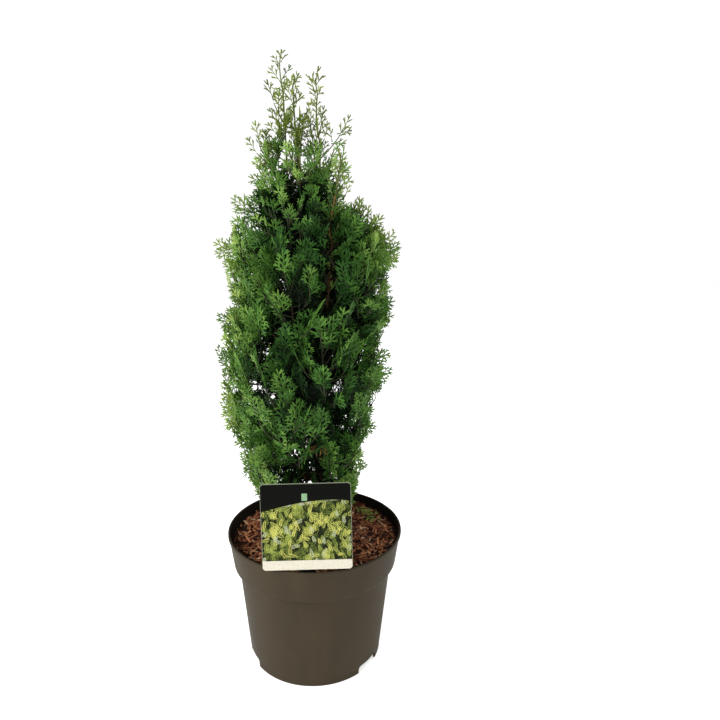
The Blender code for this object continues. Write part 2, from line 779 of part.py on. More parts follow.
def build_foliage(limbs):
    dark = make_material("foliage_dark", GREEN_DARK, 0.6)
    fresh = make_material("foliage_fresh", GREEN_FRESH, 0.6)
    masses = all_masses()
    for i, mass in enumerate(masses):
        others = [other.middle for other in masses if other.name != mass.name]
        rng = random.Random(SEED + i)
        if mass.airy:
            last = mass.foot.lerp(mass.top, TOP_FANS_END)
            fans = mass_fans(rng, mass.foot, last, mass.outward, TOP_FANS, TOP_SWING)
            parts = grow_fans(fans, TOP_FAN_LENGTH, mass.middle, others, limbs)
        else:
            fans = mass_fans(rng, mass.foot, mass.top, mass.outward, FANS_PER_MASS, SWING)
            parts = grow_fans(fans, FAN_LENGTH, mass.middle, others, limbs)
            parts.append(add_object("core", core_shape(mass.middle, others, limbs)))
        stem = stem_tube(mass.foot, mass.ahead, mass.top)
        if not fits(stem, mass.middle, others, limbs):
            raise ValueError(f"{mass.name}: its stem leaves its space")
        fuse_mass(mass.name, stem, parts, fresh if mass.airy else dark)


def main():
    clear_scene()
    build_pot()
    build_filling()
    build_label()
    build_foliage(build_limbs())


main()
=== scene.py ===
"""Looks of a young upright thuja in its nursery pot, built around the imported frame.

Metres, +Z up, origin under the middle of the pot on the surface that it stands on, -Y is the label's side.
"""

import json
import math
import random

import bmesh
import bpy
import numpy as np
from bpy.props import FloatProperty, FloatVectorProperty, IntProperty, PointerProperty
from mathutils import Matrix, Vector, noise

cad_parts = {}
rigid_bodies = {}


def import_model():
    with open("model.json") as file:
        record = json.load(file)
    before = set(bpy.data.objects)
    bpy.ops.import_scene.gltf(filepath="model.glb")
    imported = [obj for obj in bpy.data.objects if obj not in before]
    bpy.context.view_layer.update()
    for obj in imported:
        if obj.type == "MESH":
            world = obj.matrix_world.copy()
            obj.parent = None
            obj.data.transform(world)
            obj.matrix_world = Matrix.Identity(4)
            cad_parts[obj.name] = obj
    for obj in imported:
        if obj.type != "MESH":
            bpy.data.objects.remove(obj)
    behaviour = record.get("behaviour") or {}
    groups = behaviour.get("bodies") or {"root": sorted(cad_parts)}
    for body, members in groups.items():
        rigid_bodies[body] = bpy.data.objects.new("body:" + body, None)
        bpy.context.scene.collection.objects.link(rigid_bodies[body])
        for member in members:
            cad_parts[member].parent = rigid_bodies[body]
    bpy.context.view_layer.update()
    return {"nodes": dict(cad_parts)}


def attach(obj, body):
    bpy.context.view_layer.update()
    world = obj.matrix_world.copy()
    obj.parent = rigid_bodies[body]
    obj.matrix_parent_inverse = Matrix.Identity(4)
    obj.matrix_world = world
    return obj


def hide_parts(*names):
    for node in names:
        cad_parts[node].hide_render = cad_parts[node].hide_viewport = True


bl_info = {
    "name": "Potted Thuja",
    "version": (1, 0, 0),
    "blender": (4, 5, 0),
    "location": "View3D > Sidebar > Thuja",
    "description": "Builds a young upright thuja in a nursery pot, with bark mulch and a plant label",
    "category": "Object",
}

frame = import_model()
NODES = frame["nodes"]

# ---------------------------------------------------------------- measures shared by the pieces
POT_WALL = 0.0020
RIM_RADIUS = 0.1276
RIM_HEIGHT = 0.1970
LIP_DEPTH = 0.0050
LIP_PROUD = 0.0016
BAND_FOOT_RADIUS = 0.1198
BAND_FOOT_HEIGHT = 0.1480
BODY_TOP_RADIUS = 0.1130
FOOT_RADIUS = 0.0987
FOOT_HEIGHT = 0.0120
FOOT_GROOVE = 0.0009
FOOT_RING = 0.0028
FLOOR_TOP = FOOT_HEIGHT + POT_WALL
STEP_LOW = BAND_FOOT_HEIGHT + 0.0010
STEP_HIGH = BAND_FOOT_HEIGHT + 0.0035
ARCH_AZIMUTHS = (51.0, 171.0, 291.0)
ARCH_WIDTH = 0.0420
ARCH_HEIGHT = 0.0110
ARCH_ROUNDING = 0.0052
CUT_DEPTH = 0.0120
DRAIN_HOLE_RADIUS = 0.0065
DRAIN_HOLE_RING = 0.0660
DRAIN_HOLES = 6
ROOT_BALL_TOP = 0.1700
MULCH_EDGE_HEIGHT = 0.1835
MULCH_CROWN_HEIGHT = 0.1885
WALL_GAP = 0.0004
CLEAR = 0.0003

LABEL_SIZE = (0.1170, 0.0010, 0.1150)
LABEL_CORNER = 0.0040
LABEL_FOOT = Vector((-0.0100, -0.1230, 0.2002))
LABEL_LEAN = 7.5
LABEL_TURN = -3.4
LABEL_ROLL = 1.9
STAKE_SIZE = (0.0220, 0.0016)
STAKE_Y = -0.1128
STAKE_BOTTOM = 0.1530
STAKE_TOP_SHARE = 0.56
RIB_SIZE = (0.0176, 0.0048, 0.0160)
RIB_SHARE = 0.36

TRUNK_PATH = (
    (0.0040, 0.0000, 0.1888),
    (0.0060, 0.0000, 0.3100),
    (0.0030, 0.0010, 0.4500),
    (-0.0080, 0.0030, 0.5800),
    (-0.0180, 0.0000, 0.6800),
    (-0.0220, 0.0000, 0.7400),
)
TRUNK_LOW, TRUNK_HIGH = TRUNK_PATH[0][2], TRUNK_PATH[-1][2]
TRUNK_FOOT_RADIUS = 0.0068
TRUNK_TIP_RADIUS = 0.0009
FLARE_RADIUS = 0.0052
FLARE_HEIGHT = 0.0160
TAPER_POWER = 0.85
# Leaders: name, share of the trunk's height that it leaves at, points that it passes, radius at its foot.
LEADERS = (
    (
        "leader_left",
        0.74,
        ((-0.0270, -0.0060, 0.6200), (-0.0330, -0.0050, 0.6700), (-0.0356, -0.0030, 0.7380)),
        0.0024,
    ),
    (
        "leader_right",
        0.62,
        ((0.0050, -0.0070, 0.6000), (0.0080, -0.0050, 0.6600), (0.0082, -0.0020, 0.7380)),
        0.0024,
    ),
    (
        "leader_front",
        0.40,
        ((0.0110, -0.0250, 0.4700), (0.0170, -0.0420, 0.5400), (0.0230, -0.0460, 0.6150)),
        0.0030,
    ),
)

# Outline that the foliage grows in: height, radius, how far its middle lies from the pot's axis. It is
# narrower than the source's own outline, above all from 67 to 75 cm up.
CROWN = (
    (0.215, 0.058, -0.009), (0.240, 0.068, -0.012), (0.276, 0.081, -0.015), (0.314, 0.085, -0.020),
    (0.350, 0.098, -0.016), (0.386, 0.107, -0.024), (0.404, 0.110, -0.023), (0.430, 0.114, -0.014),
    (0.470, 0.111, -0.019), (0.507, 0.113, -0.009), (0.540, 0.107, -0.001), (0.573, 0.110, -0.005),
    (0.605, 0.110, -0.004), (0.622, 0.106, -0.004), (0.640, 0.093, -0.009), (0.655, 0.080, -0.015),
    (0.667, 0.071, -0.020), (0.682, 0.062, -0.020), (0.698, 0.054, -0.022), (0.712, 0.048, -0.026),
    (0.742, 0.041, -0.026), (0.770, 0.030, -0.022), (0.846, 0.014, -0.022),
)
# The crown's axis that the masses' middles are set out from: height, offset.
AXIS = (
    (0.215, 0.000), (0.260, -0.010), (0.310, -0.015), (0.380, -0.019), (0.450, -0.012), (0.540, -0.006),
    (0.610, -0.008), (0.655, -0.010), (0.700, -0.018), (0.745, -0.024),
)
# Rings of masses: height of their middle, distance from the crown's axis, number, first azimuth (degrees).
MASS_RINGS = (
    (0.266, 0.045, 3, 60.0),
    (0.350, 0.062, 4, 80.0),
    (0.440, 0.068, 5, 18.0),
    (0.530, 0.066, 5, 54.0),
    (0.618, 0.060, 3, 100.0),
    (0.692, 0.036, 3, 0.0),
)
# Masses that a leader or the trunk ends in: name, limb, tip of the stem.
TOP_MASSES = (
    ("mass_top_left", "leader_left", (-0.0370, 0.0000, 0.8450)),
    ("mass_top_middle", "trunk", (-0.0252, 0.0000, 0.8190)),
    ("mass_top_right", "leader_right", (0.0060, 0.0000, 0.8310)),
    ("mass_front", "leader_front", (0.0340, -0.0450, 0.7240)),
)
CELL_FLATTEN = 0.80
CORE_DOWN = 0.0340
STEM_RADIUS = 0.0017
STEM_LEAD = 0.0060
BOUGH_RADIUS = 0.0022
BOUGH_END_IN = 0.0120
BOUGH_END_DOWN = 0.0040
BOUGH_BEND = 0.0060
BOUGH_DROP = 0.0600
BOUGH_STAGGER = 0.0070
LOWEST_BOUGH = 0.0200
BOUGH_SWELL = 0.0010
YOUNG_FROM = 0.6800
YOUNG_TO = 0.7200
STEM_TOP_OUT = 0.0100
STEM_TOP_UP = 0.0280
GOLDEN = 0.6180339887

# The camera: its place, its turn in degrees and its lens in millimetres.
CAMERA_PLACE = Vector((0.0, -0.8497, 0.6532))
CAMERA_PITCH = 13.405
CAMERA_YAW = 4.2845
CAMERA_ROLL = 0.7209
CAMERA_LENS = 31.157

UP = Vector((0.0, 0.0, 1.0))


def linear(red, green, blue):
    """A colour picked on screen, 0 to 255, as the shader's linear values."""
    shares = [value / 255 for value in (red, green, blue)]
    return tuple(s / 12.92 if s <= 0.04045 else ((s + 0.055) / 1.055) ** 2.4 for s in shares)


def toned(colour, share, lift=0.0):
    """A colour made darker or paler."""
    return tuple(min(1.0, part * share + lift) for part in colour)


# ---------------------------------------------------------------- settings
class PotSettings(bpy.types.PropertyGroup):
    steps: IntProperty(
        name="Steps", description="Faces round the pot", default=144, min=24, max=360
    )
    colour: FloatVectorProperty(
        name="Plastic", description="Colour of the pot", subtype="COLOR", size=3,
        default=linear(62, 54, 41), min=0.0, max=1.0,
    )
    dust: FloatVectorProperty(
        name="Dust", description="Paler colour of worn and dusty patches", subtype="COLOR", size=3,
        default=linear(75, 65, 49), min=0.0, max=1.0,
    )
    roughness: FloatProperty(
        name="Roughness", description="Roughness of the moulded plastic", subtype="FACTOR",
        default=0.52, min=0.0, max=1.0,
    )


class MulchSettings(bpy.types.PropertyGroup):
    chips: IntProperty(
        name="Chips", description="Bark chips strewn on the bed", default=1900, min=0, max=6000
    )
    longest: FloatProperty(
        name="Longest", description="Length of the longest chips", subtype="DISTANCE", unit="LENGTH",
        default=0.024, min=0.005, max=0.06,
    )
    soil: FloatVectorProperty(
        name="Soil", description="Colour of the root ball", subtype="COLOR", size=3,
        default=linear(52, 38, 27), min=0.0, max=1.0,
    )


class LabelSettings(bpy.types.PropertyGroup):
    header_share: FloatProperty(
        name="Header", description="Share of the card's height that the dark header takes",
        subtype="FACTOR", default=0.315, min=0.0, max=1.0,
    )
    header_arc: FloatProperty(
        name="Header arc", description="Rise of the header's foot as a share of the card's height",
        subtype="FACTOR", default=0.125, min=0.0, max=0.3,
    )
    strip_share: FloatProperty(
        name="Strip", description="Share of the card's height that the pale strip takes",
        subtype="FACTOR", default=0.115, min=0.0, max=1.0,
    )


class LimbSettings(bpy.types.PropertyGroup):
    sides: IntProperty(name="Sides", description="Faces round the trunk", default=22, min=6, max=64)
    relief: FloatProperty(
        name="Relief", description="Depth of the bark's ridges as a share of the limb's radius",
        subtype="FACTOR", default=0.16, min=0.0, max=0.5,
    )
    bark: FloatVectorProperty(
        name="Bark", description="Colour of the old bark", subtype="COLOR", size=3,
        default=linear(108, 76, 50), min=0.0, max=1.0,
    )


class FoliageSettings(bpy.types.PropertyGroup):
    seed: IntProperty(name="Seed", description="Start of every random draw", default=5206)
    shoots: IntProperty(
        name="Branchlets", description="Branchlets on each dense mass's stem", default=14, min=4, max=60
    )
    finger_width: FloatProperty(
        name="Finger width", description="Width of a spray's last branchlets", subtype="DISTANCE",
        unit="LENGTH", default=0.0025, min=0.0005, max=0.01,
    )
    finger_thickness: FloatProperty(
        name="Finger thickness", description="Thickness of a spray's branchlets", subtype="DISTANCE",
        unit="LENGTH", default=0.0009, min=0.0002, max=0.005,
    )


class StageSettings(bpy.types.PropertyGroup):
    key: FloatProperty(
        name="Key", description="Strength of the main lamp", subtype="POWER", unit="POWER",
        default=78.0, min=0.0,
    )
    rim: FloatProperty(
        name="Rim", description="Strength of the lamp behind the right side", subtype="POWER", unit="POWER",
        default=32.0, min=0.0,
    )
    fill: FloatProperty(
        name="Fill", description="Strength of the second lamp", subtype="POWER", unit="POWER",
        default=4.0, min=0.0,
    )
    sky: FloatProperty(name="Sky", description="Strength of the white surround", default=0.40, min=0.0)


# ---------------------------------------------------------------- materials
class Value:
    """A socket of a material that plain arithmetic works on."""

    def __init__(self, paint, socket):
        self.paint, self.socket = paint, socket

    def math(self, operation, other, turned=False):
        pair = (other, self) if turned else (self, other)
        return self.paint.node("ShaderNodeMath", {"operation": operation}, {0: pair[0], 1: pair[1]})

    def __add__(self, other):
        return self.math("ADD", other)

    def __radd__(self, other):
        return self.math("ADD", other, True)

    def __sub__(self, other):
        return self.math("SUBTRACT", other)

    def __rsub__(self, other):
        return self.math("SUBTRACT", other, True)

    def __mul__(self, other):
        return self.math("MULTIPLY", other)

    def __rmul__(self, other):
        return self.math("MULTIPLY", other, True)

    def __pow__(self, other):
        return self.math("POWER", other)

    def __rpow__(self, other):
        return self.math("POWER", other, True)


class Paint:
    """A material with its Principled shader and the nodes that feed it."""

    def __init__(self, name, colour, roughness, **plain):
        self.material = bpy.data.materials.new(name)
        self.material.use_nodes = True
        self.tree = self.material.node_tree
        self.shader = self.tree.nodes["Principled BSDF"]
        self.feed(self.shader.inputs["Base Color"], colour)
        self.feed(self.shader.inputs["Roughness"], roughness)
        for socket, value in plain.items():
            self.shader.inputs[socket.replace("_", " ")].default_value = value

    def feed(self, socket, value):
        if isinstance(value, Value):
            self.tree.links.new(value.socket, socket)
        elif socket.type == "RGBA" and len(value) == 3:
            socket.default_value = (*value, 1.0)
        else:
            socket.default_value = value

    def node(self, kind, settings=None, inputs=None, output=0):
        made = self.tree.nodes.new(kind)
        for key, value in (settings or {}).items():
            if key == "stops":
                ramp = made.color_ramp
                ramp.elements[0].position, ramp.elements[1].position = value[0][0], value[-1][0]
                ramp.elements[0].color = (*value[0][1], 1.0)
                ramp.elements[1].color = (*value[-1][1], 1.0)
                for place, colour in value[1:-1]:
                    ramp.elements.new(place).color = (*colour, 1.0)
            else:
                setattr(made, key, value)
        for key, value in (inputs or {}).items():
            self.feed(made.inputs[key], value)
        return Value(self, made.outputs[output])

    def place(self, stretch=(1.0, 1.0, 1.0)):
        """Object coordinates, stretched."""
        here = self.node("ShaderNodeTexCoord", output=3)
        return self.node("ShaderNodeMapping", {}, {"Vector": here, "Scale": stretch})

    def noise(self, scale, stretch=(1.0, 1.0, 1.0), detail=3.0, roughness=0.5):
        inputs = {"Vector": self.place(stretch), "Scale": scale, "Detail": detail, "Roughness": roughness}
        return self.node("ShaderNodeTexNoise", {}, inputs)

    def span(self, value, low, high, low_to=0.0, high_to=1.0):
        """Maps low..high onto low_to..high_to and stays inside it."""
        inputs = {0: value, 1: low, 2: high, 3: low_to, 4: high_to}
        return self.node("ShaderNodeMapRange", {"clamp": True}, inputs)

    def mix(self, share, first, second):
        return self.node("ShaderNodeMix", {"data_type": "RGBA"}, {0: share, 6: first, 7: second}, 2)

    def ramp(self, share, *stops):
        return self.node("ShaderNodeValToRGB", {"stops": stops}, {0: share})

    def colour(self, value):
        self.feed(self.shader.inputs["Base Color"], value)

    def rough(self, value):
        self.feed(self.shader.inputs["Roughness"], value)

    def bump(self, height, distance, strength=1.0):
        inputs = {"Height": height, "Distance": distance, "Strength": strength}
        self.feed(self.shader.inputs["Normal"], self.node("ShaderNodeBump", {}, inputs))
        return self


def pot_plastic():
    settings = bpy.context.scene.thuja_pot
    colour, dust = tuple(settings.colour), tuple(settings.dust)
    paint = Paint("pot_plastic", colour, settings.roughness, Specular_IOR_Level=0.06)
    cloud = paint.noise(9.0, detail=5.0, roughness=0.6)
    streak = paint.noise(34.0, (1.0, 1.0, 0.12), detail=4.0)
    speck = paint.noise(900.0, detail=1.0)
    wear = paint.span(cloud * 0.6 + streak * 0.4, 0.42, 0.66, 0.0, 0.55)
    shade = paint.mix(wear, colour, dust)
    shade = paint.mix(paint.span(speck, 0.62, 0.80, 0.0, 0.25), shade, dust)
    # The band's inner face is painted dark from the root ball's top up: painted shade inside the rim.
    here = paint.place()
    x, y, z = (paint.node("ShaderNodeSeparateXYZ", {}, {0: here}, axis) for axis in range(3))
    lean = (RIM_RADIUS - LIP_PROUD - BAND_FOOT_RADIUS) / (RIM_HEIGHT - LIP_DEPTH - BAND_FOOT_HEIGHT)
    skin = BAND_FOOT_RADIUS - POT_WALL / 2 - lean * BAND_FOOT_HEIGHT
    inner = paint.span((x * x + y * y) ** 0.5 - z * lean, skin - 0.0003, skin + 0.0003, 1.0, 0.0)
    high = paint.span(z, ROOT_BALL_TOP - 0.0020, ROOT_BALL_TOP + 0.0020)
    paint.colour(paint.mix(inner * high, shade, toned(colour, 0.22)))
    paint.rough(paint.span(cloud, 0.3, 0.7, settings.roughness - 0.05, settings.roughness + 0.12))
    return paint.bump(speck * 0.5 + streak, 0.00025, 0.35).material


def soil_paint():
    colour = tuple(bpy.context.scene.thuja_mulch.soil)
    paint = Paint("potting_soil", colour, 0.95)
    lump = paint.noise(160.0, detail=6.0, roughness=0.7)
    paint.colour(paint.ramp(lump, (0.30, linear(28, 20, 15)), (0.55, colour), (0.78, linear(92, 70, 50))))
    return paint.bump(lump, 0.0015, 0.9).material


def chip_paint(name, colour):
    paint = Paint(name, colour, 0.88, Specular_IOR_Level=0.15)
    grain = paint.noise(260.0, (1.0, 1.0, 0.4), detail=5.0, roughness=0.65)
    dark, pale = toned(colour, 0.45), toned(colour, 1.55, 0.01)
    paint.colour(paint.ramp(grain, (0.30, dark), (0.52, colour), (0.76, pale)))
    return paint.bump(grain, 0.0006, 0.8).material


def print_paint(name, colour):
    """Printed card: a hardly visible mottle under a smooth film."""
    paint = Paint(name, colour, 0.32, Specular_IOR_Level=0.06)
    mottle = paint.noise(420.0, detail=2.0)
    paint.colour(paint.mix(paint.span(mottle, 0.35, 0.65), toned(colour, 0.90), colour))
    return paint.bump(mottle, 0.00005, 0.2).material


def bark_paint(name, colour, fresh):
    """Stringy bark: long ridges along the limb, paler on their crests, and still green high up."""
    paint = Paint(name, colour, 0.86)
    fibre = paint.noise(420.0, (1.0, 1.0, 0.09), detail=5.0, roughness=0.62)
    patch = paint.noise(40.0, detail=3.0)
    dark = toned(colour, 0.42)
    strands = paint.ramp(fibre, (0.32, dark), (0.52, colour), (0.72, fresh))
    shade = paint.mix(paint.span(patch, 0.40, 0.70, 0.0, 0.45), strands, dark)
    height = paint.node("ShaderNodeSeparateXYZ", {}, {0: paint.place()}, 2)
    young = paint.span(height, YOUNG_FROM, YOUNG_TO, 0.0, 0.85)
    paint.colour(paint.mix(young, shade, linear(104, 116, 54)))
    return paint.bump(fibre, 0.0008, 0.9).material


def leaf_paint(name, colour):
    """Scale leaves: one green that hardly varies, with a fine scaly relief."""
    paint = Paint(name, colour, 0.55, Specular_IOR_Level=0.15)
    scales = paint.noise(700.0, detail=2.0)
    tint = paint.noise(45.0, detail=2.0)
    low = (colour[0] * 0.78, colour[1] * 0.80, colour[2] * 0.80)
    high = (min(1.0, colour[0] * 1.22), min(1.0, colour[1] * 1.16), colour[2] * 1.10)
    paint.colour(paint.mix(paint.span(tint * 0.6 + scales * 0.4, 0.36, 0.64), low, high))
    return paint.bump(scales, 0.0004, 0.5).material


# ---------------------------------------------------------------- pieces
def finish_piece(name, mesh, material, nodes=()):
    """Links a mesh as a piece on the only body, gives it its material and hides the nodes that it stands for.
    """
    mesh.materials.clear()
    mesh.materials.append(material)
    piece = bpy.data.objects.new(name, mesh)
    bpy.context.scene.collection.objects.link(piece)
    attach(piece, "root")
    if nodes:
        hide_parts(*nodes)


def piece_from_shape(name, shape, material, nodes=(), sharp=None):
    """Makes a piece from a bmesh; sharp is the angle in degrees past which an edge stays crisp."""
    bmesh.ops.recalc_face_normals(shape, faces=shape.faces)
    mesh = bpy.data.meshes.new(name)
    shape.to_mesh(mesh)
    shape.free()
    if sharp is not None:
        mesh.shade_smooth()
        mesh.set_sharp_from_angle(angle=math.radians(sharp))
    finish_piece(name, mesh, material, nodes)


def piece_from_arrays(name, points, triangles, material, nodes=(), smooth=False):
    """Makes a piece from arrays of points and of triangles."""
    mesh = bpy.data.meshes.new(name)
    mesh.vertices.add(len(points))
    mesh.vertices.foreach_set("co", np.ascontiguousarray(points, np.float32).ravel())
    mesh.loops.add(3 * len(triangles))
    mesh.loops.foreach_set("vertex_index", np.ascontiguousarray(triangles, np.int32).ravel())
    mesh.polygons.add(len(triangles))
    mesh.polygons.foreach_set("loop_start", np.arange(0, 3 * len(triangles), 3, dtype=np.int32))
    mesh.update(calc_edges=True)
    if smooth:
        mesh.shade_smooth()
    else:
        mesh.shade_flat()
    finish_piece(name, mesh, material, nodes)


def piece_from_copies(name, shapes, triangles, material, nodes=()):
    """Joins many small shapes, an array (shape, corner, xyz), that all have the same triangles."""
    count, corners = shapes.shape[:2]
    every = triangles[None] + corners * np.arange(count)[:, None, None]
    piece_from_arrays(name, shapes.reshape(-1, 3), every.reshape(-1, 3), material, nodes)


def add_to(whole, shape):
    """Joins one bmesh into another and frees it."""
    carrier = bpy.data.meshes.new("carrier")
    shape.to_mesh(carrier)
    shape.free()
    whole.from_mesh(carrier)
    bpy.data.meshes.remove(carrier)


def box_shape(size, place, bevel, segments=2):
    shape = bmesh.new()
    bmesh.ops.create_cube(shape, size=1.0)
    bmesh.ops.scale(shape, vec=size, verts=shape.verts)
    bmesh.ops.bevel(
        shape, geom=shape.edges[:], offset=bevel, segments=segments, profile=0.5, affect="EDGES", material=-1
    )
    bmesh.ops.transform(shape, matrix=place, verts=shape.verts)
    return shape


def rounded_profile(corners):
    """Points of a turned profile whose corners (radius, height, rounding) are rounded off."""
    points = []
    for i, (radius, height, rounding) in enumerate(corners):
        corner = Vector((radius, height))
        if not rounding or i in (0, len(corners) - 1):
            points.append(corner)
            continue
        before = (Vector(corners[i - 1][:2]) - corner).normalized() * rounding
        after = (Vector(corners[i + 1][:2]) - corner).normalized() * rounding
        for share in (0.0, 0.25, 0.5, 0.75, 1.0):
            keep = 1.0 - share
            points.append(corner + before * keep**2 + after * share**2)
    return points


def spun_shape(points, steps):
    """A closed solid turned from (radius, height) points round the pot's axis."""
    shape = bmesh.new()
    verts = [shape.verts.new((point[0], 0.0, point[1])) for point in points]
    edges = [shape.edges.new(pair) for pair in zip(verts, verts[1:])]
    bmesh.ops.spin(
        shape, geom=verts + edges, cent=(0.0, 0.0, 0.0), axis=(0.0, 0.0, 1.0),
        angle=2 * math.pi, steps=steps, use_merge=True,
    )
    bmesh.ops.remove_doubles(shape, verts=shape.verts, dist=0.000005)
    bmesh.ops.recalc_face_normals(shape, faces=shape.faces)
    return shape


def cut_away(mesh, cutters):
    """The mesh less the cutters, by one Boolean."""
    piece = bpy.data.objects.new("cut", mesh)
    bpy.context.scene.collection.objects.link(piece)
    group = bpy.data.collections.new("cutters")
    bpy.context.scene.collection.children.link(group)
    for i, shape in enumerate(cutters):
        bmesh.ops.recalc_face_normals(shape, faces=shape.faces)
        cutter_mesh = bpy.data.meshes.new(f"cutter_{i}")
        shape.to_mesh(cutter_mesh)
        shape.free()
        group.objects.link(bpy.data.objects.new(f"cutter_{i}", cutter_mesh))
    modifier = piece.modifiers.new("cut", "BOOLEAN")
    modifier.operation, modifier.operand_type = "DIFFERENCE", "COLLECTION"
    modifier.collection, modifier.solver = group, "EXACT"
    graph = bpy.context.evaluated_depsgraph_get()
    result = bpy.data.meshes.new_from_object(piece.evaluated_get(graph))
    for item in [piece, *group.objects]:
        bpy.data.objects.remove(item, do_unlink=True)
    bpy.data.collections.remove(group)
    return result


def limb_shape(path, radii, sides, relief, seed=0.0):
    """A closed limb: a disc extruded once per station, then laid on the path with stringy ridges."""
    shape = bmesh.new()
    bmesh.ops.create_circle(shape, cap_ends=True, segments=sides, radius=1.0)
    face = shape.faces[:][0]
    for _ in path[1:]:
        made = bmesh.ops.extrude_face_region(shape, geom=[face])["geom"]
        face = next(item for item in made if isinstance(item, bmesh.types.BMFace))
        verts = [item for item in made if isinstance(item, bmesh.types.BMVert)]
        bmesh.ops.translate(shape, vec=(0.0, 0.0, 1.0), verts=verts)
    frames = []
    across = Vector((1.0, 0.0, 0.0))
    for i in range(len(path)):
        ahead = (path[min(i + 1, len(path) - 1)] - path[max(i - 1, 0)]).normalized()
        across = (across - ahead * across.dot(ahead)).normalized()
        frames.append((across, ahead.cross(across)))
    runs = [0.0]
    for low, high in zip(path, path[1:]):
        runs.append(runs[-1] + (high - low).length)
    for vertex in shape.verts:
        x, y, station = vertex.co.x, vertex.co.y, round(vertex.co.z)
        ridge = noise.noise(Vector((x * 3.1, y * 3.1, runs[station] * 26.0 + seed)))
        fine = noise.noise(Vector((x * 7.3, y * 7.3, runs[station] * 60.0 - seed)))
        swell = 1.0 + relief * (ridge + 0.6 * fine)
        spoke = frames[station][0] * x + frames[station][1] * y
        vertex.co = path[station] + spoke * radii[station] * swell
    return shape


def smooth_path(points, steps):
    """Points on a Catmull-Rom curve through the given ones."""
    points = [Vector(p) for p in points]
    padded = [2 * points[0] - points[1], *points, 2 * points[-1] - points[-2]]
    path = []
    for i in range(len(points) - 1):
        a, b, c, d = padded[i : i + 4]
        for step in range(steps):
            t = step / steps
            squared = (2 * a - 5 * b + 4 * c - d) * t**2
            cubed = (3 * b - a - 3 * c + d) * t**3
            path.append(0.5 * (2 * b + (c - a) * t + squared + cubed))
    path.append(points[-1])
    return path


def interpolate(stations, height):
    """Reads the columns of a list of (height, value, ...) rows at one height."""
    if height <= stations[0][0]:
        return stations[0][1:]
    for low, high in zip(stations, stations[1:]):
        if height <= high[0]:
            share = (height - low[0]) / (high[0] - low[0])
            return tuple(a + (b - a) * share for a, b in zip(low[1:], high[1:]))
    return stations[-1][1:]


# ---------------------------------------------------------------- pot
INNER_WALL = (
    (FLOOR_TOP, FOOT_RADIUS + FOOT_GROOVE - POT_WALL),
    (STEP_LOW, BODY_TOP_RADIUS - POT_WALL),
    (STEP_HIGH, BAND_FOOT_RADIUS - POT_WALL),
    (RIM_HEIGHT, RIM_RADIUS - LIP_PROUD - POT_WALL),
)


def inner_wall_radius(height):
    return interpolate(INNER_WALL, height)[0]


def pot_profile():
    """Corners of the pot's section from under its middle, round the rim, to the middle of its floor."""
    lip_foot = RIM_HEIGHT - LIP_DEPTH
    return rounded_profile(
        [
            (0.0, FOOT_HEIGHT, 0.0),
            (FOOT_RADIUS - FOOT_RING, FOOT_HEIGHT, 0.0010),
            (FOOT_RADIUS - FOOT_RING, 0.0, 0.0006),
            (FOOT_RADIUS, 0.0, 0.0012),
            (FOOT_RADIUS + 0.0001, FOOT_HEIGHT - 0.0012, 0.0005),
            (FOOT_RADIUS + FOOT_GROOVE, FOOT_HEIGHT + 0.0004, 0.0006),
            (BODY_TOP_RADIUS, BAND_FOOT_HEIGHT - 0.0018, 0.0009),
            (BAND_FOOT_RADIUS, BAND_FOOT_HEIGHT - 0.0002, 0.0022),
            (RIM_RADIUS - LIP_PROUD, lip_foot - 0.0002, 0.0012),
            (RIM_RADIUS, lip_foot + 0.0006, 0.0007),
            (RIM_RADIUS, RIM_HEIGHT, 0.0013),
            (RIM_RADIUS - LIP_PROUD - POT_WALL, RIM_HEIGHT, 0.0011),
            *[(radius, height, 0.0008) for height, radius in reversed(INNER_WALL[1:-1])],
            (INNER_WALL[0][1], INNER_WALL[0][0], 0.0020),
            (0.0, FLOOR_TOP, 0.0),
        ]
    )


class THUJA_OT_pot(bpy.types.Operator):
    """Turn the nursery pot, with its foot arches and drain holes"""

    bl_idname = "thuja.pot"
    bl_label = "Pot"

    def execute(self, context):
        shape = spun_shape(pot_profile(), context.scene.thuja_pot.steps)
        mesh = bpy.data.meshes.new("pot_shell")
        shape.to_mesh(mesh)
        shape.free()
        cutters = []
        for azimuth in ARCH_AZIMUTHS:
            turn = Matrix.Rotation(math.radians(azimuth - 90.0), 4, "Z")
            place = turn @ Matrix.Translation((FOOT_RADIUS - 0.001, 0.0, 0.0))
            size = (CUT_DEPTH, ARCH_WIDTH, 2 * ARCH_HEIGHT)
            cutters.append(box_shape(size, place, bevel=ARCH_ROUNDING, segments=4))
        for hole in range(DRAIN_HOLES):
            turn = Matrix.Rotation(2 * math.pi * (hole + 0.5) / DRAIN_HOLES, 4, "Z")
            cutter = bmesh.new()
            bmesh.ops.create_cone(
                cutter, cap_ends=True, segments=32, depth=CUT_DEPTH,
                radius1=DRAIN_HOLE_RADIUS, radius2=DRAIN_HOLE_RADIUS,
            )
            place = turn @ Matrix.Translation((DRAIN_HOLE_RING, 0.0, FLOOR_TOP))
            bmesh.ops.transform(cutter, matrix=place, verts=cutter.verts)
            cutters.append(cutter)
        mesh = cut_away(mesh, cutters)
        mesh.shade_smooth()
        mesh.set_sharp_from_angle(angle=math.radians(38.0))
        finish_piece("nursery_pot", mesh, pot_plastic(), ["pot"])
        return {"FINISHED"}


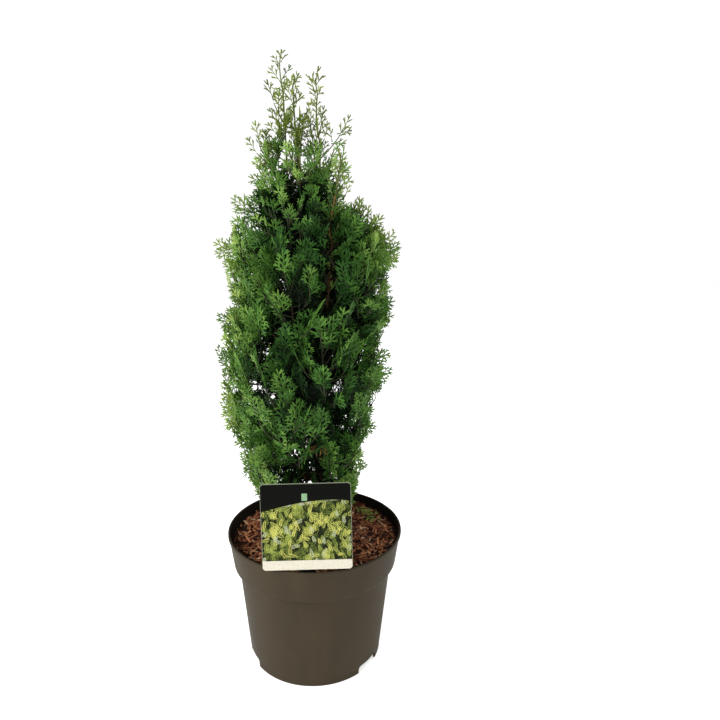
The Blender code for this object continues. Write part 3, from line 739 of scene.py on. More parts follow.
# ---------------------------------------------------------------- filling
CHIP_SHADES = (
    ("chips_maroon", linear(104, 54, 34), 0.26),
    ("chips_brown", linear(136, 86, 56), 0.28),
    ("chips_orange", linear(168, 112, 76), 0.22),
    ("chips_dark", linear(58, 32, 20), 0.14),
    ("chips_pale", linear(204, 164, 128), 0.10),
)
CHIP_REACH = 0.1205
CHIP_WIDTHS = (0.0016, 0.0046)
CHIP_THICKNESSES = (0.0009, 0.0022)
CHIP_LIFT = 0.0030
CHIP_RIM_GAP = 0.0006
CHIP_SEED = 71
TRUNK_KEEP_OUT = 0.0120
STAKE_KEEP_OUT = (0.0140, 0.0060)  # beside and before the stake
BED_ROUGHNESS = 0.0016
BED_SINK = 0.0010
BED_RINGS = 46
BED_STEPS = 160
SLAB_TRIANGLES = np.array([
    (0, 1, 3), (0, 3, 2), (4, 6, 7), (4, 7, 5), (0, 4, 5), (0, 5, 1),
    (2, 3, 7), (2, 7, 6), (0, 2, 6), (0, 6, 4), (1, 5, 7), (1, 7, 3),
])


def bed_height(x, y):
    """Height of the mulch over a point, low at the wall and high round the trunk."""
    rise = MULCH_CROWN_HEIGHT - MULCH_EDGE_HEIGHT
    coarse = noise.noise(Vector((x * 55.0, y * 55.0, 3.0)))
    lumps = coarse + 0.6 * noise.noise(Vector((x * 140.0, y * 140.0, 9.0)))
    slope = rise * (1.0 - math.hypot(x, y) / RIM_RADIUS)
    return MULCH_EDGE_HEIGHT - BED_SINK + slope + BED_ROUGHNESS * lumps


def chip_points(rng, length, width, thickness):
    """Eight corners of a splinter: a slab with torn, slanting ends."""
    half = np.array([length, width, thickness]) / 2
    corners = np.array([(x, y, z) for x in (-1, 1) for y in (-1, 1) for z in (-1, 1)], float)
    taper = np.where(corners[:, :1] > 0, rng.uniform(0.35, 0.9), rng.uniform(0.35, 0.9))
    corners[:, 1:] *= taper
    corners[:, 0] += np.array([rng.uniform(-0.16, 0.16) for _ in corners])
    return corners * half


def add_bed(wall):
    """The mulch under the loose chips: a turned layer with a lumpy top."""
    low = ROOT_BALL_TOP + CLEAR
    rings = [i / BED_RINGS for i in range(BED_RINGS, 0, -1)]
    points = [(0.0, low), (inner_wall_radius(low) - WALL_GAP, low)]
    points += [(wall * share, MULCH_EDGE_HEIGHT) for share in rings] + [(0.0, MULCH_EDGE_HEIGHT)]
    shape = spun_shape(points, BED_STEPS)
    for vertex in shape.verts:
        if vertex.co.z > low + 0.005:
            vertex.co.z = bed_height(vertex.co.x, vertex.co.y)
    paint = chip_paint("mulch_bed", linear(46, 24, 15))
    piece_from_shape("mulch_bed", shape, paint, ["bark_mulch"], sharp=60.0)


def strewn_chip(rng, longest):
    """One chip at a random place on the bed: its corners, and x and y of its middle."""
    reach = CHIP_REACH * math.sqrt(rng.random())
    turn = rng.uniform(0.0, 2 * math.pi)
    x, y = reach * math.cos(turn), reach * math.sin(turn)
    length = longest * rng.uniform(0.28, 1.0) ** 1.3
    size = (length, rng.uniform(*CHIP_WIDTHS), rng.uniform(*CHIP_THICKNESSES))
    heading = rng.uniform(0.0, 2 * math.pi)
    lift = rng.uniform(0.0, CHIP_LIFT)
    tilt = Matrix.Rotation(rng.gauss(0.0, 0.22), 4, "Y") @ Matrix.Rotation(rng.gauss(0.0, 0.45), 4, "X")
    place = Matrix.Translation((x, y, bed_height(x, y) + lift)) @ Matrix.Rotation(heading, 4, "Z") @ tilt
    matrix = np.array(place)
    return chip_points(rng, *size) @ matrix[:3, :3].T + matrix[:3, 3], x, y


class THUJA_OT_filling(bpy.types.Operator):
    """Give the root ball its soil and strew bark chips over the bed"""

    bl_idname = "thuja.filling"
    bl_label = "Root ball and mulch"

    def execute(self, context):
        settings = context.scene.thuja_mulch
        slots = NODES["root_ball"].data.materials
        slots.clear()
        slots.append(soil_paint())
        wall = inner_wall_radius(MULCH_EDGE_HEIGHT) - WALL_GAP
        add_bed(wall)

        rng = random.Random(CHIP_SEED)
        weights = [weight for _, _, weight in CHIP_SHADES]
        heaps = {shade: [] for shade, _, _ in CHIP_SHADES}
        laid = 0
        while laid < settings.chips:
            corners, x, y = strewn_chip(rng, settings.longest)
            near_trunk = np.hypot(corners[:, 0] - TRUNK_PATH[0][0], corners[:, 1]).min() < TRUNK_KEEP_OUT
            near_stake = abs(x - LABEL_FOOT.x) < STAKE_KEEP_OUT[0] and abs(y - STAKE_Y) < STAKE_KEEP_OUT[1]
            over_wall = np.hypot(corners[:, 0], corners[:, 1]).max() > wall - CHIP_RIM_GAP
            if over_wall or near_trunk or near_stake or corners[:, 2].max() > RIM_HEIGHT:
                continue
            heaps[rng.choices(list(heaps), weights)[0]].append(corners)
            laid += 1
        for shade, colour, _ in CHIP_SHADES:
            paint = chip_paint(shade, colour)
            piece_from_copies(shade, np.array(heaps[shade]), SLAB_TRIANGLES, paint)
        return {"FINISHED"}


# ---------------------------------------------------------------- label
PRINT_SHADES = (
    ("print_deep_green", linear(66, 76, 36)),
    ("print_green", linear(112, 128, 58)),
    ("print_lime", linear(166, 178, 86)),
    ("print_yellow", linear(212, 212, 110)),
    ("print_sky", linear(198, 206, 166)),
)
# The card's printed face: thickness of a printed layer, how far it stops short of the card's edges and
# how far over the card's front the header and the strip lie.
FILM = 0.00012
PRINT_WIDTH = LABEL_SIZE[0] - 0.0011
PRINT_FOOT = 0.0006
PRINT_HEAD = LABEL_SIZE[2] - 0.0005
OVERPRINT = 0.0013
TAB_OVERPRINT = 0.0014
PICTURE_BEHIND = (0.002, 0.015)  # how far the picture runs up behind the header, on its left and its right
PRINT_CORNER = 0.0034
STRIP_CORNER = 0.0030
HEADER_STEPS = 24
HEADER_CREST = 0.78
TAB_SIZE = (0.0072, 0.0096)
TAB_CORNER = 0.0006
TAB_PLACE = (-0.0015, 0.845)  # metres across, share of the card's height
SPRIGS = 480
SPRIG_SEED = 19
SPRIGS_BELOW = 0.0030
SPRIG_MARGIN = 0.0003
SPRIG_STROKES = 10
SPRIG_SIZES = (0.007, 0.015)
STROKE_HALF_WIDTH = 0.0005
STROKE_TRIANGLES = np.array([
    (0, 3, 2), (0, 2, 1), (4, 5, 6), (4, 6, 7), (0, 1, 5), (0, 5, 4),
    (1, 2, 6), (1, 6, 5), (2, 3, 7), (2, 7, 6), (3, 0, 4), (3, 4, 7),
])


def label_frame():
    """Places the label's local axes: X across, Z up the card, Y through it, foot's middle at the origin."""
    return (
        Matrix.Translation(LABEL_FOOT)
        @ Matrix.Rotation(math.radians(LABEL_TURN), 4, "Z")
        @ Matrix.Rotation(math.radians(-LABEL_LEAN), 4, "X")
        @ Matrix.Rotation(math.radians(-LABEL_ROLL), 4, "Y")
    )


def rounded_plate(width, height, corner, thickness, front, centre):
    """A flat plate with rounded corners whose front face lies at y = front."""
    shape = bmesh.new()
    bmesh.ops.create_cube(shape, size=1.0)
    bmesh.ops.scale(shape, vec=(width, thickness, height), verts=shape.verts)
    corners = [e for e in shape.edges if abs((e.verts[0].co - e.verts[1].co).normalized().y) > 0.9]
    bmesh.ops.bevel(
        shape, geom=corners, offset=corner, segments=6, profile=0.5, affect="EDGES", material=-1
    )
    bmesh.ops.translate(shape, vec=(centre[0], front + thickness / 2, centre[1]), verts=shape.verts)
    return shape


def plate_from_outline(outline, front):
    """A printed layer cut to an outline of (x, z) points, with its front face at y = front."""
    shape = bmesh.new()
    face = shape.faces.new([shape.verts.new((x, front, z)) for x, z in outline])
    made = bmesh.ops.extrude_face_region(shape, geom=[face])["geom"]
    verts = [item for item in made if isinstance(item, bmesh.types.BMVert)]
    bmesh.ops.translate(shape, vec=(0.0, FILM, 0.0), verts=verts)
    bmesh.ops.recalc_face_normals(shape, faces=shape.faces)
    return shape


def add_print(name, shape, place, shade, colour):
    """Lays a printed shape on the card."""
    bmesh.ops.transform(shape, matrix=place, verts=shape.verts)
    piece_from_shape(name, shape, print_paint(shade, linear(*colour)))


def add_card(place):
    width, thickness, height = LABEL_SIZE
    card = rounded_plate(width, height, LABEL_CORNER, thickness, -thickness / 2, (0.0, height / 2))
    rims = [e for e in card.edges if e.is_manifold and e.calc_face_angle(0.0) > 1.2]
    bmesh.ops.bevel(card, geom=rims, offset=0.0002, segments=2, profile=0.5, affect="EDGES", material=-1)
    bmesh.ops.transform(card, matrix=place, verts=card.verts)
    stock = print_paint("card_stock", linear(168, 174, 150))
    piece_from_shape("label_card", card, stock, ["plant_label"], sharp=40.0)


def add_stake(place):
    """The stake that holds the card up and the rib that joins the two behind it."""
    height = LABEL_SIZE[2]
    top = LABEL_FOOT.z + height * STAKE_TOP_SHARE
    stake = box_shape(
        (*STAKE_SIZE, top - STAKE_BOTTOM),
        Matrix.Translation((LABEL_FOOT.x, STAKE_Y, (top + STAKE_BOTTOM) / 2)),
        bevel=0.0005,
    )
    middle = Matrix.Translation((0.0, RIB_SIZE[1] / 2, height * RIB_SHARE))
    add_to(stake, box_shape(RIB_SIZE, place @ middle, bevel=0.0006))
    paint = Paint("stake_plastic", linear(38, 44, 36), 0.45)
    grain = paint.noise(300.0, (1.0, 1.0, 0.3))
    paint.colour(paint.mix(paint.span(grain, 0.35, 0.7), linear(30, 36, 29), linear(52, 60, 48)))
    paint.bump(grain, 0.0002, 0.4)
    piece_from_shape("label_stake", stake, paint.material, sharp=40.0)


def sprig_strokes(low, high, limit, face):
    """Generic sprigs: seeded rows of short strokes (start, end, depth), dealt out in the print's shades."""
    rng = random.Random(SPRIG_SEED)
    order = [name for name, _ in PRINT_SHADES]
    strokes = {name: [] for name in order}
    for sprig in range(SPRIGS):
        root = Vector((rng.uniform(-limit, limit), rng.uniform(low - 0.004, high)))
        heading = rng.gauss(math.pi / 2, 0.75)
        band = (low + high) / 2 + 0.012 * math.sin(root.x * 75.0)
        pale = math.exp(-(((root.y - band) / 0.014) ** 2))
        weights = (0.34 - 0.20 * pale, 0.28, 0.24 + 0.1 * pale, 0.10 + 0.34 * pale, 0.06)
        name = rng.choices(order, weights)[0]
        layer = face - FILM * (2.0 + 1.4 * order.index(name)) - 0.0000004 * sprig
        size = rng.uniform(*SPRIG_SIZES)
        for k in range(SPRIG_STROKES):
            along = size * k / SPRIG_STROKES
            start = root + Vector((math.cos(heading), math.sin(heading))) * along
            lean = heading + (0.62 if k % 2 else -0.62) * (k < SPRIG_STROKES - 1)
            end = start + Vector((math.cos(lean), math.sin(lean))) * (0.0024 + 0.22 * (size - along))
            strokes[name].append((start, end, layer))
    return strokes


def add_sprigs(place, low, high, limit, face):
    """Draws the strokes as slim lozenges and leaves out those that would cross the picture's edge."""
    strokes = sprig_strokes(low, high, limit, face)
    for name, colour in PRINT_SHADES:
        points = []
        for start, end, layer in strokes[name]:
            ahead = (end - start).normalized()
            beside = Vector((-ahead.y, ahead.x)) * STROKE_HALF_WIDTH
            middle = start.lerp(end, 0.6)
            outline = [start, middle - beside, end, middle + beside]
            for p in outline:
                p.x = max(-limit, min(limit, p.x))
            if abs(start.x) < limit - 0.001 and all(low < p.y < high for p in outline):
                for depth in (layer, layer - FILM * 0.6):
                    points += [place @ Vector((p.x, depth, p.y)) for p in outline]
        points = np.array([tuple(p) for p in points]).reshape(-1, 8, 3)
        piece_from_copies(name, points, STROKE_TRIANGLES, print_paint(name, colour))


def header_outline(foot, arc_rise):
    """The header: a shallow arc for its foot, deeper at its left end, and two rounded upper corners."""
    half, height = PRINT_WIDTH / 2, LABEL_SIZE[2]
    outline = []
    for i in range(HEADER_STEPS + 1):
        share = i / HEADER_STEPS
        fall = max(0.0, (share - HEADER_CREST) / (1.0 - HEADER_CREST))
        rise = math.sin(math.pi / 2 * min(1.0, share / HEADER_CREST)) - 0.15 * fall**2
        outline.append((PRINT_WIDTH * (share - 0.5), foot + height * arc_rise * rise))
    near, far = PRINT_CORNER * 0.3, PRINT_CORNER
    right = [(half, PRINT_HEAD - far), (half - near, PRINT_HEAD - near), (half - far, PRINT_HEAD)]
    return outline + right + [(-x, z) for x, z in reversed(right)]


class THUJA_OT_label(bpy.types.Operator):
    """Make the plant label: card, stake and a plain printed face"""

    bl_idname = "thuja.label"
    bl_label = "Plant label"

    def execute(self, context):
        settings = context.scene.thuja_label
        place = label_frame()
        add_card(place)
        add_stake(place)

        height = LABEL_SIZE[2]
        face = -LABEL_SIZE[1] / 2
        half = PRINT_WIDTH / 2
        strip_top = height * settings.strip_share
        header_foot = height * (1.0 - settings.header_share)
        left_top, right_top = (header_foot + behind for behind in PICTURE_BEHIND)
        outline = [(-half, strip_top), (half, strip_top), (half, right_top), (-half, left_top)]
        shape = plate_from_outline(outline, face - FILM)
        add_print("label_picture", shape, place, "print_shade", (32, 38, 20))
        add_sprigs(place, strip_top - SPRIGS_BELOW, right_top, half - SPRIG_MARGIN, face)
        shape = plate_from_outline(header_outline(header_foot, settings.header_arc), face - OVERPRINT)
        add_print("label_header", shape, place, "print_black", (9, 11, 6))
        outline = [
            (-half, PRINT_FOOT + STRIP_CORNER), (-half + STRIP_CORNER, PRINT_FOOT),
            (half - STRIP_CORNER, PRINT_FOOT), (half, PRINT_FOOT + STRIP_CORNER),
            (half, strip_top), (-half, strip_top),
        ]
        shape = plate_from_outline(outline, face - OVERPRINT)
        add_print("label_strip", shape, place, "print_white", (228, 222, 202))
        centre = (TAB_PLACE[0], height * TAB_PLACE[1])
        tab = rounded_plate(*TAB_SIZE, TAB_CORNER, FILM, face - TAB_OVERPRINT - FILM, centre)
        add_print("label_tab", tab, place, "print_mint", (142, 176, 138))
        return {"FINISHED"}


# ---------------------------------------------------------------- limbs
LIMB_STEP = 0.0035
LEADER_SIDES = 12
BOUGH_STEP = 0.0040
BOUGH_SIDES = 10


def trunk_line(steps=3):
    return smooth_path(TRUNK_PATH, steps)


def trunk_radius(height):
    share = min(1.0, max(0.0, (height - TRUNK_LOW) / (TRUNK_HIGH - TRUNK_LOW)))
    taper = TRUNK_TIP_RADIUS + (TRUNK_FOOT_RADIUS - TRUNK_TIP_RADIUS) * (1.0 - share) ** TAPER_POWER
    return taper + FLARE_RADIUS * math.exp(-(height - TRUNK_LOW) / FLARE_HEIGHT)


def point_at_height(line, height):
    for low, high in zip(line, line[1:]):
        if height <= high.z:
            return low.lerp(high, (height - low.z) / (high.z - low.z))
    return line[-1]


def trunk_point(height):
    return point_at_height(trunk_line(), height)


def limb_lines(steps=3):
    """The middle lines of the leaders and the trunk, by name."""
    lines = {"trunk": trunk_line(steps)}
    for name, share, points, _ in LEADERS:
        foot = trunk_point(TRUNK_LOW + (TRUNK_HIGH - TRUNK_LOW) * share)
        lines[name] = smooth_path((foot, *points), steps)
    return lines


def crown_middle(height):
    """The crown's middle and its radius at a height."""
    radius, offset = interpolate(CROWN, height)
    return Vector((offset, 0.0, height)), radius


def bough_line(middle, outward, rank, steps=2):
    """A bough leaves the trunk below its mass, runs out and turns up to the mass's inner foot."""
    start_height = middle.z - BOUGH_DROP - BOUGH_STAGGER * rank
    start = trunk_point(max(start_height, TRUNK_LOW + LOWEST_BOUGH))
    end = middle - outward * BOUGH_END_IN - UP * (CORE_DOWN + BOUGH_END_DOWN)
    bend = start.lerp(end, 0.55) + outward * BOUGH_BEND - UP * (BOUGH_BEND * 0.7)
    return smooth_path((start, bend, end), steps)


def ring_masses():
    """Name, middle, outward direction and rank of each mass in the rings."""
    masses = []
    for ring, (height, distance, count, first) in enumerate(MASS_RINGS):
        for k in range(count):
            turn = math.radians(first + 360.0 * k / count)
            outward = Vector((math.sin(turn), -math.cos(turn), 0.0))
            middle = Vector((interpolate(AXIS, height)[0], 0.0, height)) + outward * distance
            masses.append((f"mass_{ring + 1}_{'abcdef'[k]}", middle, outward, k))
    return masses


def fine_line(line, spacing):
    """The same line with a station every so far along it."""
    points = [line[0]]
    for low, high in zip(line, line[1:]):
        count = max(1, round((high - low).length / spacing))
        points += [low.lerp(high, (i + 1) / count) for i in range(count)]
    return points


def tapered(foot_radius, tip_radius, count):
    return [foot_radius + (tip_radius - foot_radius) * i / (count - 1) for i in range(count)]


class THUJA_OT_limbs(bpy.types.Operator):
    """Grow the trunk, the leaders and the boughs, with their bark's relief"""

    bl_idname = "thuja.limbs"
    bl_label = "Trunk and boughs"

    def execute(self, context):
        settings = context.scene.thuja_limbs
        old_bark = bark_paint("old_bark", tuple(settings.bark), linear(124, 92, 64))
        young_bark = bark_paint("young_bark", linear(112, 80, 42), linear(156, 118, 60))
        lines = {name: fine_line(line, LIMB_STEP) for name, line in limb_lines(8).items()}
        radii = [trunk_radius(p.z) for p in lines["trunk"]]
        shape = limb_shape(lines["trunk"], radii, settings.sides, settings.relief)
        piece_from_shape("trunk_bark", shape, old_bark, ["trunk"], sharp=80.0)
        for i, (name, _, _, foot) in enumerate(LEADERS):
            radii = tapered(foot, TRUNK_TIP_RADIUS, len(lines[name]))
            shape = limb_shape(lines[name], radii, LEADER_SIDES, settings.relief * 0.7, 5.0 * i)
            piece_from_shape(f"{name}_bark", shape, young_bark, [name], sharp=80.0)
        whole = bmesh.new()
        nodes = []
        for i, (name, middle, outward, rank) in enumerate(ring_masses()):
            line = bough_line(middle, outward, rank, 8)
            foot = BOUGH_RADIUS + BOUGH_SWELL * (TRUNK_HIGH - line[0].z)
            line = fine_line(line, BOUGH_STEP)
            radii = tapered(foot, STEM_RADIUS, len(line))
            add_to(whole, limb_shape(line, radii, BOUGH_SIDES, settings.relief * 0.8, 7.0 * i))
            nodes.append(name.replace("mass", "bough"))
        piece_from_shape("boughs_bark", whole, old_bark, nodes, sharp=80.0)
        return {"FINISHED"}


# ---------------------------------------------------------------- foliage: fingers and sprays
# Greens, light to dark: name and colour. Sprays take one by how deep they sit and how high they are. The
# darker greens, down to the near-black green_inner, are painted shade for the crown's inside, its front and
# its right side;
# the paler ones are partly the young tips' own yellow-green and partly painted light on the left side and the
# upper right shoulder.
GREENS = (
    ("green_lime", linear(152, 174, 92)),
    ("green_tip", linear(132, 162, 78)),
    ("green_fresh", linear(110, 148, 66)),
    ("green_bright", linear(88, 130, 52)),
    ("green_mid", linear(65, 107, 40)),
    ("green_deep", linear(43, 82, 28)),
    ("green_dark", linear(22, 52, 16)),
    ("green_inner", linear(8, 26, 6)),
)
# The sparse shoots of the top take theirs from these.
OLIVES = (
    ("olive_pale", linear(126, 144, 62)),
    ("olive_soft", linear(106, 126, 50)),
    ("olive_dusk", linear(84, 106, 40)),
)
PALETTES = {"lace": GREENS, "inner": GREENS, "open": OLIVES}
TWIGS = (
    ("twig_brown", linear(60, 44, 28)),
    ("twig_olive", linear(50, 58, 24)),
    ("twig_orange", linear(156, 118, 58)),
    ("twig_green", linear(100, 108, 50)),
)
# A finger is a last flat branchlet: its corners as shares of its length, width and twice its thickness.
FINGER_POINTS = np.array([
    (0.0, 0.0, 0.0), (0.30, 0.42, 0.0), (0.90, 0.44, 0.0),
    (1.0, -0.14, 0.0), (0.42, -0.5, 0.0), (0.60, 0.0, 0.5),
])
FINGER_TRIANGLES = np.array([
    (0, 4, 5), (4, 3, 5), (3, 2, 5), (2, 1, 5), (1, 0, 5), (0, 1, 2), (0, 2, 3), (0, 3, 4),
])
RIB, SIDE, TIP = 0, 1, 2  # kinds of finger
KIND_SHIFTS = (0.30, 0.10, -0.25)  # how much darker each kind is than its spray
GREEN_SPREAD = 0.16
SHADE_SEED = 77
SPRAY_LENGTHS = {
    "lace": (0.018, 0.024, 0.030, 0.037, 0.045),
    "inner": (0.026, 0.036, 0.046),
    "open": (0.012, 0.018, 0.025, 0.034),
}
VARIANTS = 4
MOST_TRIANGLES = 190000  # in one piece
# Lace: how far apart a rib's side fingers start and how long the longest is. Inner sprays are coarser.
LACE = {"spacing": 0.0037, "longest": 0.0155}
INNER_LACE = {"spacing": 0.0080, "longest": 0.0240}
INNER_WIDER = 1.8
LACE_TIP = 0.0120
LACE_TURNS = (29.0, 43.0)
FORK_TURNS = (28.0, 40.0)
FORK_LONGEST = 0.0085
OPEN_STEP = 0.0080
OPEN_TIP = 0.0085
OPEN_LONGEST = 0.0125
OPEN_TURNS = (26.0, 38.0)
OPEN_FORK_FROM = 0.0090
OPEN_FORK_LENGTH = 0.0055
OPEN_FORK_TURNS = (24.0, 34.0)
# Gaps where light falls through the crown: x and z of each on the plane y = 0, and its radius.
GAPS = (
    (-0.0856, 0.4134, 0.0035), (-0.0753, 0.4089, 0.0030), (-0.0593, 0.4000, 0.0030), (0.0341, 0.4142, 0.0040),
    (0.0243, 0.4029, 0.0020), (-0.0096, 0.3365, 0.0015), (-0.0260, 0.3138, 0.0020),
)
GAP_MARGIN = 0.0035


def drawn_angle(rng, low_high):
    """A random angle from a range in degrees, in radians."""
    return math.radians(rng.uniform(*low_high))


def fork_fingers(rng, at, turn, side, branch, width, spacing):
    """The small alternate fingers on one long finger."""
    rows = []
    ahead = (math.cos(turn), math.sin(turn))
    small = rng.uniform(0.0035, 0.0048)
    while small < branch - 0.0045:
        size = min(0.50 * (branch - small) + 0.0030, FORK_LONGEST) * rng.uniform(0.85, 1.1)
        lean = turn + side * drawn_angle(rng, FORK_TURNS)
        root = (at + ahead[0] * small, ahead[1] * small)
        rows.append((*root, lean, size, width * rng.uniform(0.68, 0.80), SIDE))
        small += spacing * rng.uniform(0.85, 1.1)
        side = -side
    return rows


def lace_fingers(rng, length, width, spacing, longest):
    """Fingers of one flat spray, as rows (along, across, turn, length, width, kind).

    A rib carries alternate long fingers; the longer ones fork.
    """
    rows = []
    step = spacing * 2.4
    at = 0.0
    while at < length - 0.010:
        rows.append((at, 0.0, 0.0, min(step + 0.002, length - at), width * 0.62, RIB))
        at += step
    rows.append((max(0.0, length - LACE_TIP), 0.0, rng.uniform(-0.1, 0.1), LACE_TIP, width * 0.85, TIP))
    side = rng.choice((-1, 1))
    at = spacing * rng.uniform(0.4, 0.9)
    while at < length - 0.005:
        branch = min(0.55 * (length - at) + 0.0050, longest) * rng.uniform(0.82, 1.08)
        turn = side * drawn_angle(rng, LACE_TURNS)
        rows.append((at, 0.0, turn, branch, width * rng.uniform(0.78, 0.92), TIP))
        rows += fork_fingers(rng, at, turn, side, branch, width, spacing)
        at += spacing * rng.uniform(0.9, 1.15)
        side = -side
    return rows


def open_fingers(rng, length, width):
    """Fingers of a sparse shoot: a thin rib with single alternate fingers."""
    rows = []
    at = 0.0
    while at < length - 0.006:
        rows.append((at, 0.0, 0.0, min(OPEN_STEP + 0.002, length - at), width * 0.50, RIB))
        at += OPEN_STEP
    rows.append((max(0.0, length - OPEN_TIP), 0.0, rng.uniform(-0.15, 0.15), OPEN_TIP, width * 0.72, TIP))
    side = rng.choice((-1, 1))
    at = rng.uniform(0.002, 0.004)
    while at < length - 0.004:
        size = min(0.44 * (length - at) + 0.0050, OPEN_LONGEST) * rng.uniform(0.85, 1.1)
        turn = side * drawn_angle(rng, OPEN_TURNS)
        rows.append((at, 0.0, turn, size, width * 0.74, TIP))
        if size > OPEN_FORK_FROM:
            ahead = (math.cos(turn) * size * 0.45, math.sin(turn) * size * 0.45)
            lean = turn + side * drawn_angle(rng, OPEN_FORK_TURNS)
            rows.append((at + ahead[0], ahead[1], lean, OPEN_FORK_LENGTH, width * 0.64, TIP))
        at += rng.uniform(0.0038, 0.0054)
        side = -side
    return rows


def spray_template(rows, thickness, rng):
    """Corner points (fingers, corners, 3) and kinds of a spray in its own plane."""
    points = np.zeros((len(rows), len(FINGER_POINTS), 3))
    for i, (along, across, turn, length, width, _) in enumerate(rows):
        flip = rng.choice((-1.0, 1.0))  # turned about its length, so that the faces still point out
        local = FINGER_POINTS * (length, width * flip, thickness * 2.0 * flip)
        points[i, :, 0] = along + local[:, 0] * math.cos(turn) - local[:, 1] * math.sin(turn)
        points[i, :, 1] = across + local[:, 0] * math.sin(turn) + local[:, 1] * math.cos(turn)
        points[i, :, 2] = local[:, 2] + 0.0001 * (i % 5 - 2)  # no two neighbours in one plane
    return points, np.array([row[5] for row in rows])


def crosses_gap(root, ahead, length):
    """True if a spray would close one of the crown's gaps."""
    for x, z, radius in GAPS:
        gap = Vector((x, 0.0, z))
        through = (gap - CAMERA_PLACE).normalized()
        for share in (0.15, 0.5, 0.9):
            way = root + ahead * (length * share) - gap
            if (way - through * way.dot(through)).length < radius + GAP_MARGIN:
                return True
    return False


class Grower:
    """Collects sprays and twigs, and turns them into joined pieces, one for each green and bark."""

    def __init__(self, settings):
        self.rng = random.Random(settings.seed)
        self.templates = {}
        for kind, lengths in SPRAY_LENGTHS.items():
            for length in lengths:
                made = [self.template(kind, length, settings) for _ in range(VARIANTS)]
                self.templates[kind, length] = made
        self.placed = {}
        self.tubes = {name: [] for name, _ in TWIGS}

    def template(self, kind, length, settings):
        width = settings.finger_width
        if kind == "open":
            rows = open_fingers(self.rng, length, width)
        elif kind == "lace":
            rows = lace_fingers(self.rng, length, width, **LACE)
        else:
            rows = lace_fingers(self.rng, length, width * INNER_WIDER, **INNER_LACE)
        return spray_template(rows, settings.finger_thickness, self.rng)

    def spray(self, kind, length, root, ahead, normal, green, bend=0.0, sweep=0.0, top=False):
        """Places the template nearest in length; green is a place, with fractions, in the kind's palette."""
        if crosses_gap(root, ahead, length) or not top and before_leader(root + ahead * (0.5 * length)):
            return
        nearest = min(SPRAY_LENGTHS[kind], key=lambda size: abs(size - length))
        across = normal.cross(ahead).normalized()
        normal = ahead.cross(across).normalized()
        key = (kind, nearest, self.rng.randrange(VARIANTS), top)
        scale = min(1.15, max(0.85, length / nearest))
        row = (*root, *(ahead * scale), *(across * scale), *(normal * scale), bend, sweep, green)
        self.placed.setdefault(key, []).append(row)

    def tube(self, bark, path, radii):
        self.tubes[bark].append((path, radii))

    def finger_pieces(self, nodes_of):
        """Makes the spray pieces: every finger goes to the green of its spray, shifted by its kind."""
        draw = np.random.default_rng(SHADE_SEED)
        heaps = {}
        for (kind, length, variant, top), rows in self.placed.items():
            points, kinds = self.templates[kind, length][variant]
            u, v, w = points[..., 0], points[..., 1], points[..., 2]
            cast = np.array(rows)[:, None, None, :]
            root, ahead, across, normal = (cast[..., first : first + 3] for first in (0, 3, 6, 9))
            bend, sweep, green = cast[..., 12], cast[..., 13], cast[:, :, 0, 14]
            place = (
                root
                + u[None, ..., None] * ahead
                + (v + sweep * u**2)[..., None] * across
                + (bend * u**2 + w)[..., None] * normal
            )
            shift = np.array(KIND_SHIFTS)[kinds]
            green = green + shift[None, :] + draw.normal(0.0, GREEN_SPREAD, (len(rows), len(kinds)))
            palette = PALETTES[kind]
            green = np.clip(np.round(green), 0, len(palette) - 1).astype(int)
            for number in np.unique(green):
                heaps.setdefault((palette[number][0], top), []).append(place[green == number])
        limit = MOST_TRIANGLES // len(FINGER_TRIANGLES)
        for (name, top), heap in sorted(heaps.items()):
            fingers = np.concatenate(heap)
            parts = math.ceil(len(fingers) / limit)
            title = f"sprays_{'top_' if top else ''}{name.split('_')[1]}"
            for part, chunk in enumerate(np.array_split(fingers, parts)):
                number = f"_{part + 1}" if parts > 1 else ""
                material = bpy.data.materials[name]
                piece_from_copies(title + number, chunk, FINGER_TRIANGLES, material, nodes_of[top])

    def twig_pieces(self):
        for name, tubes in self.tubes.items():
            points, triangles, count = [], [], 0
            for path, radii in tubes:
                made, faces = tube_arrays(path, radii, 4 if len(path) > 2 else 3)
                points.append(made)
                triangles.append(faces + count)
                count += len(made)
            if points:
                piece_from_arrays(
                    f"{name}s", np.concatenate(points), np.concatenate(triangles),
                    bpy.data.materials[name], smooth=True,
                )


def tube_arrays(path, radii, sides):
    """Points and triangles of a closed thin tube."""
    path = np.array([tuple(p) for p in path])
    radii = np.array(radii)[:, None]
    ahead = np.gradient(path, axis=0)
    ahead /= np.linalg.norm(ahead, axis=1)[:, None]
    guide = np.array((0.0, 0.0, 1.0)) if abs(ahead[0][2]) < 0.8 else np.array((1.0, 0.0, 0.0))
    across = np.cross(ahead, guide)
    across /= np.linalg.norm(across, axis=1)[:, None]
    beside = np.cross(ahead, across)
    rings = []
    for side in range(sides):
        turn = 2 * math.pi * side / sides
        rings.append(path + radii * (across * math.cos(turn) + beside * math.sin(turn)))
    points = np.stack(rings, axis=1).reshape(-1, 3)
    faces = []
    for i in range(len(path) - 1):
        for side in range(sides):
            a, b = i * sides + side, i * sides + (side + 1) % sides
            faces += [(a, b, b + sides), (a, b + sides, a + sides)]
    last = (len(path) - 1) * sides
    for side in range(1, sides - 1):
        faces += [(0, side + 1, side), (last, last + side, last + side + 1)]
    return points, np.array(faces)


# ---------------------------------------------------------------- foliage: growth
CELL_OVERLAP = 0.0060
REACH_STEP = 0.0020
REACH_LIMIT = 0.1600
TRIM_STEP = 0.0040
# Heights of the leaders' masses' middles, which bound the space of the masses beside them.
FRONT_MASS_HEIGHT = 0.661
TOP_MASS_HEIGHT = 0.780
